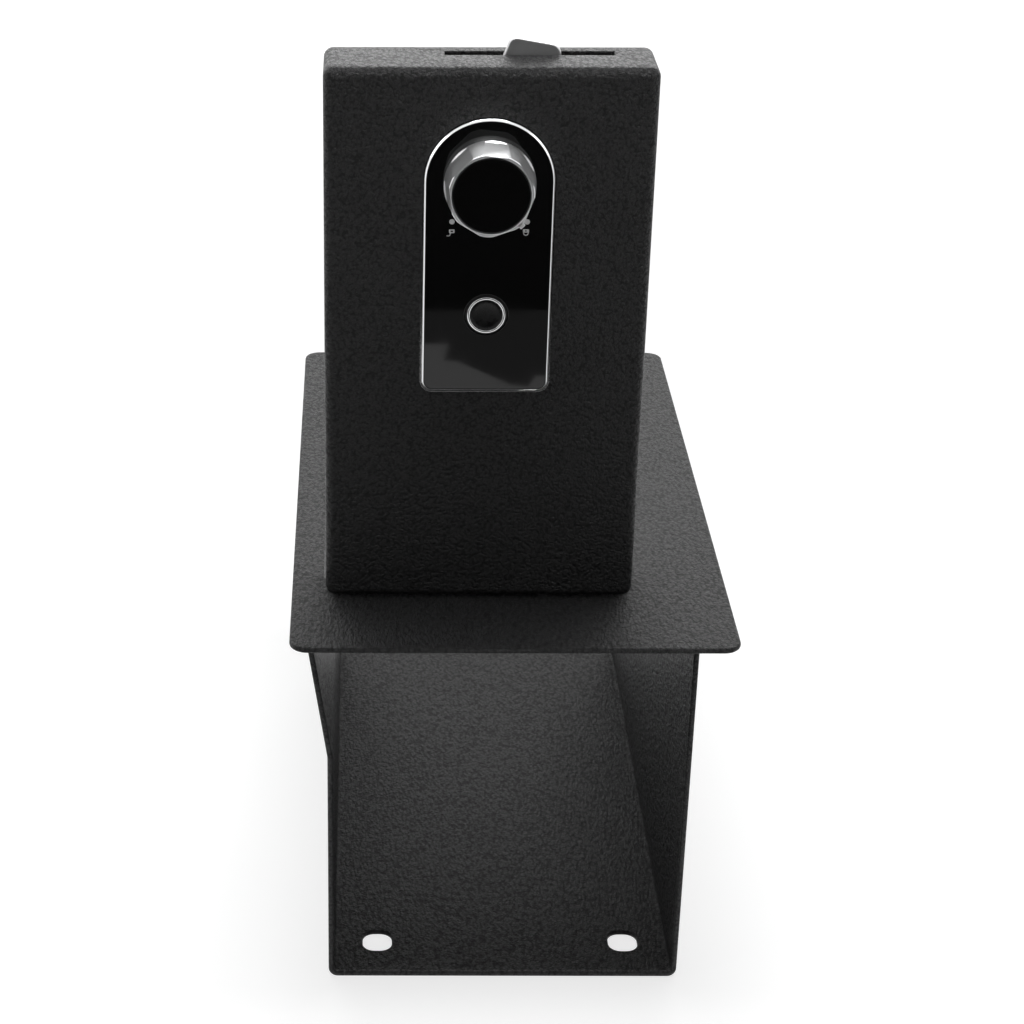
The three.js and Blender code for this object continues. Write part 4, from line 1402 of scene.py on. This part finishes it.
class SAFE_OT_knob(bpy.types.Operator):
    """Makes the chrome knob with its flats and pointer, its cap and the key cylinder under it"""

    bl_idname = "console_safe.knob"
    bl_label = "Knob"

    def execute(self, context):
        size = context.scene.safe_lock
        centre = joint_place("knob_turn")
        low, high = box_mm("knob_barrel")
        self.barrel(size, centre, low.y, high.y)
        self.cap(centre)
        self.key_cylinder(centre)
        return {"FINISHED"}

    def barrel(self, size, centre, front, back):
        """A cone with flats ground on it down to its rim, undercut below the rim.

        Each flat ends in a slanting ledge at the rim.
        """
        seat = radius_of("knob_cap") + 0.15
        base, nose = mm(size.knob_base), mm(size.knob_nose)
        rim = back - mm(size.knob_rim)
        skirt = seat - 0.75
        spindle, cylinder = 4.3, 8.8
        floor, ledge, shelf = back - 1.8, front + 6.2, front + 1.9
        outer = [(seat + 0.25, front), (nose - 0.35, front), (nose, front + 0.35)]
        outer += [(base - (base - nose) * 0.01, rim - 0.15), (base, rim), (base, rim + 0.4)]
        outer.append((base - 1.1, back))
        inner = [(spindle, back), (spindle, floor), (cylinder, floor), (cylinder, ledge), (skirt, ledge)]
        inner += [(skirt, shelf), (seat, shelf), (seat, front + 0.25)]
        bm = turned(outer + inner, centre, 48)
        tool = bmesh.new()
        for index in range(size.flats):
            add(tool, self.ground_off(size, centre, front, rim, index))
        barrel = piece_of("knob_body", bm)
        carve(barrel, tool)
        soften = barrel.modifiers.new("soften", "BEVEL")
        soften.width = 0.16 * MM
        soften.segments = 2
        soften.limit_method = "ANGLE"
        soften.angle_limit = math.radians(7)
        applied(barrel)
        sharpen(barrel, 32)
        join_mesh(barrel, self.pointer(size, centre, front))
        dress(barrel, "knob", "chrome", ["knob_barrel"], finish("satin_chrome"))

    def ground_off(self, size, centre, front, rim, index):
        """What one flat takes away, as a wedge beside the knob."""
        near, far = mm(size.flat_nose), mm(size.flat_base)
        ledge = rim - 0.8
        lean = (far - near) / (ledge - front)
        past = 6
        side = [(near - lean, front - 1), (far, ledge)]
        side += [(far + past, ledge + past), (far + past, front - 1)]
        wedge = rounded_polygon(side, [0] * 4)
        bm = plate([wedge], -12, 12, 0.01)
        angle = size.pointer_angle + 2 * math.pi * (index + 0.5) / size.flats
        spin = Matrix.Rotation(-angle, 4, "Y")
        bm.transform(Matrix.Translation((centre.x, 0, centre.z)) @ spin)
        return bm

    def pointer(self, size, centre, front):
        """The tab on the knob's front edge that points to a mark."""
        inner, outer = POINTER_REACH
        tab = rounded_rect((inner, -POINTER_WIDTH / 2), (outer, POINTER_WIDTH / 2), 0.35, 4)
        bm = plate([tab], front, front + 3, 0.3, facing)
        turn = Matrix.Rotation(-size.pointer_angle, 4, "Y")
        bm.transform(Matrix.Translation((centre.x, 0, centre.z)) @ turn)
        return bm

    def cap(self, centre):
        """A flat disc with a narrow round edge, and a collar behind it."""
        low, high = box_mm("knob_cap")
        radius = radius_of("knob_cap")
        collar = radius - 1.2
        inner = collar - 1.2
        face = low.y + 1.6
        profile = [(0, low.y), (radius * 0.6, low.y), (radius - 0.8, low.y), (radius - 0.6, low.y)]
        profile += [(radius - 0.4, low.y + 0.02), (radius - 0.12, low.y + 0.14), (radius, low.y + 0.42)]
        profile.append((radius, face))
        profile += [(collar, face), (collar, high.y), (inner, high.y), (inner, face), (0, face)]
        bm = turned(profile, centre, 36)
        dress(piece_of("knob_disc", bm), "cap", "gloss_black", ["knob_cap"])

    def key_cylinder(self, centre):
        """The key cylinder with its plug, which has a stepped keyway."""
        low, high = box_mm("key_cylinder")
        plug_low, plug_high = box_mm("key_plug")
        radius, plug = radius_of("key_cylinder"), radius_of("key_plug")
        bore = plug + FIT
        profile = [(0, plug_high.y + FIT), (bore, plug_high.y + FIT), (bore, low.y + 0.3)]
        profile += [(bore + 0.3, low.y), (radius - 0.5, low.y), (radius, low.y + 0.5), (radius, high.y)]
        profile.append((0, high.y))
        bm = turned(profile, centre, 16)
        dress(piece_of("key_housing", bm), "knob", "brass", ["key_cylinder"])
        side = [(0.8, -3.5), (0.8, -1.0), (0.3, -0.6), (0.3, 0.8), (0.8, 1.2), (0.8, 3.5)]
        corners = [(-0.8, -3.5), *side, (-0.8, 3.5)]
        keyway = rounded_polygon(corners, [0.3, 0.3, 0, 0, 0, 0, 0.3, 0.3], 3)
        face = [(0, plug_low.y), (plug - 0.4, plug_low.y), (plug, plug_low.y + 0.4), (plug, plug_high.y)]
        face.append((0, plug_high.y))
        piece = piece_of("key_plug_round", turned(face, centre, 12))
        placed = [point + Vector((centre.x, centre.z)) for point in keyway]
        carve(piece, plate([placed], plug_low.y - 2, plug_low.y + 7, 0.02, facing))
        dress(piece, "key", "brass", ["key_plug"])


# Latch


class SAFE_OT_latch(bpy.types.Operator):
    """Makes the latch arm that the knob swings"""

    bl_idname = "console_safe.latch"
    bl_label = "Latch arm"

    def execute(self, context):
        centre = joint_place("knob_turn")
        low, high = box_mm("latch_arm")
        lid_end = box_mm("lid_shell")[1].z - centre.z
        left_tip, right_tip = (lid_end + reach for reach in LATCH_REACH)
        corners = [(-LATCH_HUB, 0), (LATCH_HUB, 0)]
        corners += [(LATCH_HUB, right_tip - 0.4), (1.2 - LATCH_HUB, left_tip + 0.47)]
        upper = rounded_polygon(corners, [0, 0, 4.8, 3.6], 8)
        arm = upper[1:] + arc((0, 0), LATCH_HUB, 2 * QUARTER, 4 * QUARTER, 10)[1:-1]
        square = hole(rounded_rect((-3.1, -3.1), (3.1, 3.1), 0.3, 2))
        spin = Matrix.Rotation(LATCH_ANGLE, 2)
        place = Vector((centre.x, centre.z))
        outlines = [[spin @ point + place for point in loop] for loop in (without_doubles(arm), square)]
        bm = plate(outlines, low.y, high.y, 0.8, facing)
        dress(piece_of("latch_plate", bm), "knob", "latch_steel", ["latch_arm"])
        return {"FINISHED"}


def without_doubles(outline):
    """The outline without points that lie on the one before."""
    return [point for i, point in enumerate(outline) if (point - outline[i - 1]).length > 1e-4]


# Liner


class SAFE_OT_liner(bpy.types.Operator):
    """Makes the plate that closes the lid, with its screws and posts"""

    bl_idname = "console_safe.liner"
    bl_label = "Liner"

    def execute(self, context):
        low, high = box_mm("liner_plate")
        tray_low, tray_high = box_mm("battery_tray")
        middle = middle_of("liner_plate").x
        mouth_x = radius_of("battery_tray") - TRAY_RIM
        mouth = [(middle - mouth_x, tray_low.z + TRAY_RIM), (middle + mouth_x, tray_high.z - TRAY_RIM)]
        outlines = [rounded_rect((low.x, low.z), (high.x, high.z), 1.4, 4)]
        outlines.append(hole(rounded_rect(*mouth, 0.3, 2)))
        places = []
        for screw in map(middle_of, four("liner_screw")):
            outlines.append(hole(circle((screw.x, screw.z), THREAD + FIT, 5)))
            places.append((screw.x, 0, screw.z))
        bm = plate(outlines, low.y, high.y, 0.2, facing)
        dress(piece_of("liner_sheet", bm), "lid", "powder_coat", ["liner_plate"])
        self.screws(places)
        self.posts(places)
        return {"FINISHED"}

    def screws(self, places):
        """Screws with domed heads and a cross in each."""
        low, high = box_mm("liner_screw_1")
        reach = radius_of("liner_screw_1")
        shank, seat, back = low.y, high.y - SCREW_HEAD, high.y
        profile = [(0, shank), (1.1, shank), (THREAD, shank + 0.5), (THREAD, seat), (reach, seat)]
        profile += [(reach, seat + 0.25), (reach * 0.82, back - 0.3), (reach * 0.45, back), (0, back)]
        screw = piece_of("screw", turned(profile, Vector((0, 0, 0)), 8))
        for turn in (0, QUARTER):
            arm = rounded_rect((-1.6, -0.3), (1.6, 0.3), 0.15, 2)
            cross = plate([arm], back - 0.8, back + 1, 0.01, facing)
            cross.transform(Matrix.Rotation(turn, 4, "Y"))
            carve(screw, cross)
        piece = set_out("liner_screws", redrawn(screw), places_tree, {}, "zinc_steel", places)
        dress(piece, "lid", "zinc_steel", four("liner_screw"))

    def posts(self, places):
        low, high = box_mm("liner_post_1")
        radius = radius_of("liner_post_1")
        bore, deep = THREAD + FIT, high.y - POST_BORE
        profile = [(0, deep), (bore, deep), (bore, high.y - 0.3), (bore + 0.3, high.y)]
        profile += [(radius - 0.3, high.y), (radius, high.y - 0.3), (radius, low.y), (0, low.y)]
        bm = turned(profile, Vector((0, 0, 0)), 6)
        piece = set_out("liner_posts", bm, places_tree, {}, "zinc_steel", places)
        dress(piece, "lid", "zinc_steel", four("liner_post"))


# Batteries


class SAFE_OT_batteries(bpy.types.Operator):
    """Makes the battery cover with its ribs, and the cells behind it"""

    bl_idname = "console_safe.batteries"
    bl_label = "Batteries"

    def execute(self, context):
        self.cover()
        self.cells()
        return {"FINISHED"}

    def cover(self):
        """The cover with its plug behind, and ribs for the thumb near its top."""
        low, high = box_mm("battery_cover")
        rib_height, thickness_and_coat_light, plug_inset = 0.3, 1.4, 2.5
        face = high.y - rib_height
        seat = face - thickness_and_coat_light
        sheet = plate([rounded_rect((low.x, low.z), (high.x, high.z), 2, 6)], seat, face, 0.35, facing)
        plug_low = Vector((low.x + plug_inset, low.z + plug_inset))
        plug_high = Vector((high.x - plug_inset, high.z - plug_inset))
        wall = Vector((1.2, 1.2))
        outlines = [rounded_rect(plug_low, plug_high, 0.4, 2)]
        outlines.append(hole(rounded_rect(plug_low + wall, plug_high - wall, 0.2, 2)))
        add(sheet, plate(outlines, low.y, seat + 0.5, 0.15, facing))
        piece = piece_of("battery_door", sheet)
        rib = plate([rounded_rect((-8, -0.5), (8, 0.5), 0.45, 4)], -0.5, rib_height, 0.25, facing)
        start = Vector((middle_of("battery_cover").x, face, high.z - 4.4 - COVER_RIB_PITCH)) * MM
        pitch = Vector((0, 0, -COVER_RIB_PITCH)) * MM
        values = {"Count": COVER_RIBS, "Start": start, "Pitch": pitch}
        join_mesh(piece, redrawn(set_out("ribs", rib, row_tree, values, "black_plastic")))
        dress(piece, "cover", "black_plastic", ["battery_cover"])

    def cells(self):
        """Each second cell stands the other way up."""
        nodes = four("battery")
        low, high = box_mm(nodes[0])
        radius = radius_of(nodes[0])
        length = high.z - low.z
        profile = [(0, 0), (radius - 0.6, 0), (radius, 0.5), (radius, length - 1.5)]
        profile += [(radius - 0.7, length - 0.8), (1.9, length - 0.8), (1.9, length - 0.2)]
        profile += [(1.6, length), (0, length)]
        upright = Matrix(((1, 0, 0, 0), (0, 0, -1, 0), (0, 1, 0, 0), (0, 0, 0, 1)))
        head_down = Matrix(((1, 0, 0, 0), (0, 0, 1, 0), (0, -1, 0, length), (0, 0, 0, 1)))
        for first, name, turn in ((0, "cells_up", upright), (1, "cells_down", head_down)):
            bm = turned(profile, Vector((0, 0, 0)), 10)
            bm.transform(turn)
            chosen = nodes[first::2]
            places = [(middle.x, middle.y, low.z) for middle in map(middle_of, chosen)]
            piece = set_out(name, bm, places_tree, {}, "cell_wrap", places)
            dress(piece, "lid", "cell_wrap", chosen)


# Everything else inside the lid


class SAFE_OT_works(bpy.types.Operator):
    """Makes the panel's nuts, and finishes the CAD pieces that stay as they are"""

    bl_idname = "console_safe.works"
    bl_label = "Lock works"

    def execute(self, context):
        nodes = four("panel_nut")
        low, high = box_mm(nodes[0])
        radius = radius_of(nodes[0])
        turns = [i * math.pi / 3 for i in range(6)]
        corners = [(radius * math.cos(t), radius * math.sin(t)) for t in turns]
        outlines = [rounded_polygon(corners, [0.3] * 6, 4), hole(circle((0, 0), THREAD + FIT, 5))]
        nut = plate(outlines, low.y, high.y, 0.2, facing)
        places = [(middle.x, 0, middle.z) for middle in map(middle_of, nodes)]
        piece = set_out("panel_nuts", nut, places_tree, {}, "zinc_steel", places)
        dress(piece, "lid", "zinc_steel", nodes)
        for part in frame["record"]["subparts"]:
            node = frame["nodes"][part["node"]]
            for slot in node.material_slots:
                slot.material = finish(part["material_slot"])
        return {"FINISHED"}


# Studio


class SAFE_OT_studio(bpy.types.Operator):
    """Makes the floor, the lamps, the world and the camera"""

    bl_idname = "console_safe.studio"
    bl_label = "Studio"

    def execute(self, context):
        size = context.scene.safe_studio
        self.floor(size)
        self.world(size)
        self.softbox("back_softbox", (0, 2.2, 1.1), (0, 0, 0.2), (2.4, 0.8), size.back_light)
        self.softbox("top_softbox", (0, -0.05, 1), (0, -0.1, 0.3), (0.5, 0.3), size.top_light)
        self.softbox("left_softbox", (-1.7, -0.5, 1.1), (0, 0, 0.2), (1, 1), size.left_light)
        self.softbox("right_softbox", (1.7, -0.5, 1.1), (0, 0, 0.2), (1, 1), size.right_light)
        self.cards()
        self.camera(size)
        context.scene.view_settings.view_transform = "Standard"
        return {"FINISHED"}

    def floor(self, size):
        bm = bmesh.new()
        bmesh.ops.create_grid(bm, x_segments=4, y_segments=4, size=8)
        mesh = bpy.data.meshes.new("studio_floor")
        bm.to_mesh(mesh)
        bm.free()
        obj = link("studio_floor", mesh)
        material = bpy.data.materials.new("studio_floor")
        material.use_nodes = True
        nodes, links = material.node_tree.nodes, material.node_tree.links
        surface = nodes["Principled BSDF"]
        surface.inputs["Base Color"].default_value = tuple(size.floor_color)
        surface.inputs["Roughness"].default_value = 0.9
        surface.inputs["Specular IOR Level"].default_value = 0.0
        surface.inputs["Emission Color"].default_value = (1, 1, 1, 1)
        links.new(self.seen(nodes, links, self.outward(nodes, links)), surface.inputs["Emission Strength"])
        mesh.materials.append(material)

    def outward(self, nodes, links):
        """The floor's own light: less round the part, where its shadow lies, and white far out."""
        length = nodes.new("ShaderNodeVectorMath")
        length.operation = "LENGTH"
        links.new(nodes.new("ShaderNodeTexCoord").outputs["Object"], length.inputs[0])
        ramp = nodes.new("ShaderNodeMapRange")
        links.new(length.outputs["Value"], ramp.inputs["Value"])
        for name, value in (("From Min", 0.6), ("From Max", 2.5), ("To Min", 0.74), ("To Max", 1.0)):
            ramp.inputs[name].default_value = value
        return ramp.outputs["Result"]

    def seen(self, nodes, links, strength):
        """The strength on rays from the camera and on those that metal and glass send on."""
        path = nodes.new("ShaderNodeLightPath")
        total = path.outputs["Is Camera Ray"]
        for name in ("Is Glossy Ray", "Is Transmission Ray"):
            either = nodes.new("ShaderNodeMath")
            either.operation = "MAXIMUM"
            links.new(total, either.inputs[0])
            links.new(path.outputs[name], either.inputs[1])
            total = either.outputs[0]
        scaled = nodes.new("ShaderNodeMath")
        scaled.operation = "MULTIPLY"
        links.new(total, scaled.inputs[0])
        if isinstance(strength, bpy.types.NodeSocket):
            links.new(strength, scaled.inputs[1])
        else:
            scaled.inputs[1].default_value = strength
        return scaled.outputs[0]

    def world(self, size):
        world = bpy.data.worlds.new("studio")
        bpy.context.scene.world = world
        world.use_nodes = True
        nodes, links = world.node_tree.nodes, world.node_tree.links
        background = nodes["Background"]
        background.inputs["Color"].default_value = (1, 1, 1, 1)
        seen = self.seen(nodes, links, 1 - size.ambient)
        total = nodes.new("ShaderNodeMath")
        links.new(seen, total.inputs[0])
        total.inputs[1].default_value = size.ambient
        links.new(total.outputs[0], background.inputs["Strength"])

    def softbox(self, name, place, target, sides, power):
        light = bpy.data.lights.new(name, "AREA")
        light.shape = "RECTANGLE"
        light.size, light.size_y = sides
        light.energy = power
        lamp = bpy.data.objects.new(name, light)
        bpy.context.scene.collection.objects.link(lamp)
        lamp.location = place
        lamp.rotation_euler = (Vector(target) - Vector(place)).to_track_quat("-Z", "Y").to_euler()

    def cards(self):
        """Cards in front that only reflections see, as a studio sets up for gloss black.

        The near card's notched edge is the border of the light area in the lock panel's lower part.
        """
        near = [(-1.6, -0.88), (-0.001, -0.88), (-0.006, -0.848), (0.004, -0.846), (0.01, -0.839)]
        near += [(0.042, -0.802), (0.055, -0.798), (0.062, -0.818), (1.6, -0.81)]
        self.card("gray_card", near + [(1.6, -0.96), (-1.6, -0.94)], 0.2)
        self.card("black_card", [(-1.6, -0.94), (1.6, -0.96), (1.6, -2), (-1.6, -2)], 0.02)
        wall = [(-1.6, 0.001), (1.6, 0.001), (1.6, 2.1), (-1.6, 2.1)]
        self.card("black_wall", wall, 0.02, upright=-2)

    def card(self, name, outline, brightness, upright=None):
        if upright is None:
            points = [(x, y, 0.001) for x, y in outline]
        else:
            points = [(x, upright, z) for x, z in outline]
        mesh = bpy.data.meshes.new(name)
        mesh.from_pydata(points, [], [range(len(points))])
        obj = link(name, mesh)
        material = bpy.data.materials.new(name)
        material.use_nodes = True
        surface = material.node_tree.nodes["Principled BSDF"]
        surface.inputs["Base Color"].default_value = (0, 0, 0, 1)
        surface.inputs["Specular IOR Level"].default_value = 0.0
        surface.inputs["Emission Color"].default_value = (1, 1, 1, 1)
        surface.inputs["Emission Strength"].default_value = brightness
        mesh.materials.append(material)
        for ray in ("camera", "diffuse", "transmission", "shadow"):
            setattr(obj, f"visible_{ray}", False)

    def camera(self, size):
        data = bpy.data.cameras.new("camera")
        data.lens = size.lens
        data.sensor_width = 36
        data.shift_x, data.shift_y = CAMERA_SHIFT
        camera = bpy.data.objects.new("camera", data)
        bpy.context.scene.collection.objects.link(camera)
        camera.location = CAMERA_PLACE
        turn = Matrix.Rotation(QUARTER - size.pitch, 3, "X") @ Matrix.Rotation(size.roll, 3, "Z")
        camera.rotation_euler = turn.to_euler()
        bpy.context.scene.camera = camera


# Panel and registration


OPERATORS = [
    SAFE_OT_flange, SAFE_OT_channel, SAFE_OT_rest_tabs, SAFE_OT_hinge, SAFE_OT_lid, SAFE_OT_lock_panel,
    SAFE_OT_sensor, SAFE_OT_knob, SAFE_OT_latch, SAFE_OT_liner, SAFE_OT_batteries, SAFE_OT_works,
    SAFE_OT_studio,
]


class SAFE_PT_pieces(bpy.types.Panel):
    """Lists the settings and the pieces of the safe"""

    bl_label = "Console Safe"
    bl_idname = "SAFE_PT_pieces"
    bl_space_type = "VIEW_3D"
    bl_region_type = "UI"
    bl_category = "Console Safe"

    def draw(self, context):
        for attribute, group in SETTINGS.items():
            section = self.layout.box()
            section.label(text=group.__doc__)
            for name in group.__annotations__:
                section.prop(getattr(context.scene, attribute), name)
        for operator in OPERATORS:
            self.layout.operator(operator.bl_idname)


def register():
    for attribute, group in SETTINGS.items():
        bpy.utils.register_class(group)
        setattr(bpy.types.Scene, attribute, PointerProperty(type=group))
    for operator in OPERATORS:
        bpy.utils.register_class(operator)
    bpy.utils.register_class(SAFE_PT_pieces)


def unregister():
    bpy.utils.unregister_class(SAFE_PT_pieces)
    for operator in reversed(OPERATORS):
        bpy.utils.unregister_class(operator)
    for attribute, group in SETTINGS.items():
        delattr(bpy.types.Scene, attribute)
        bpy.utils.unregister_class(group)


def main():
    register()
    for operator in OPERATORS:
        group, name = operator.bl_idname.split(".")
        getattr(getattr(bpy.ops, group), name)()


if __name__ == "__main__":
    main()
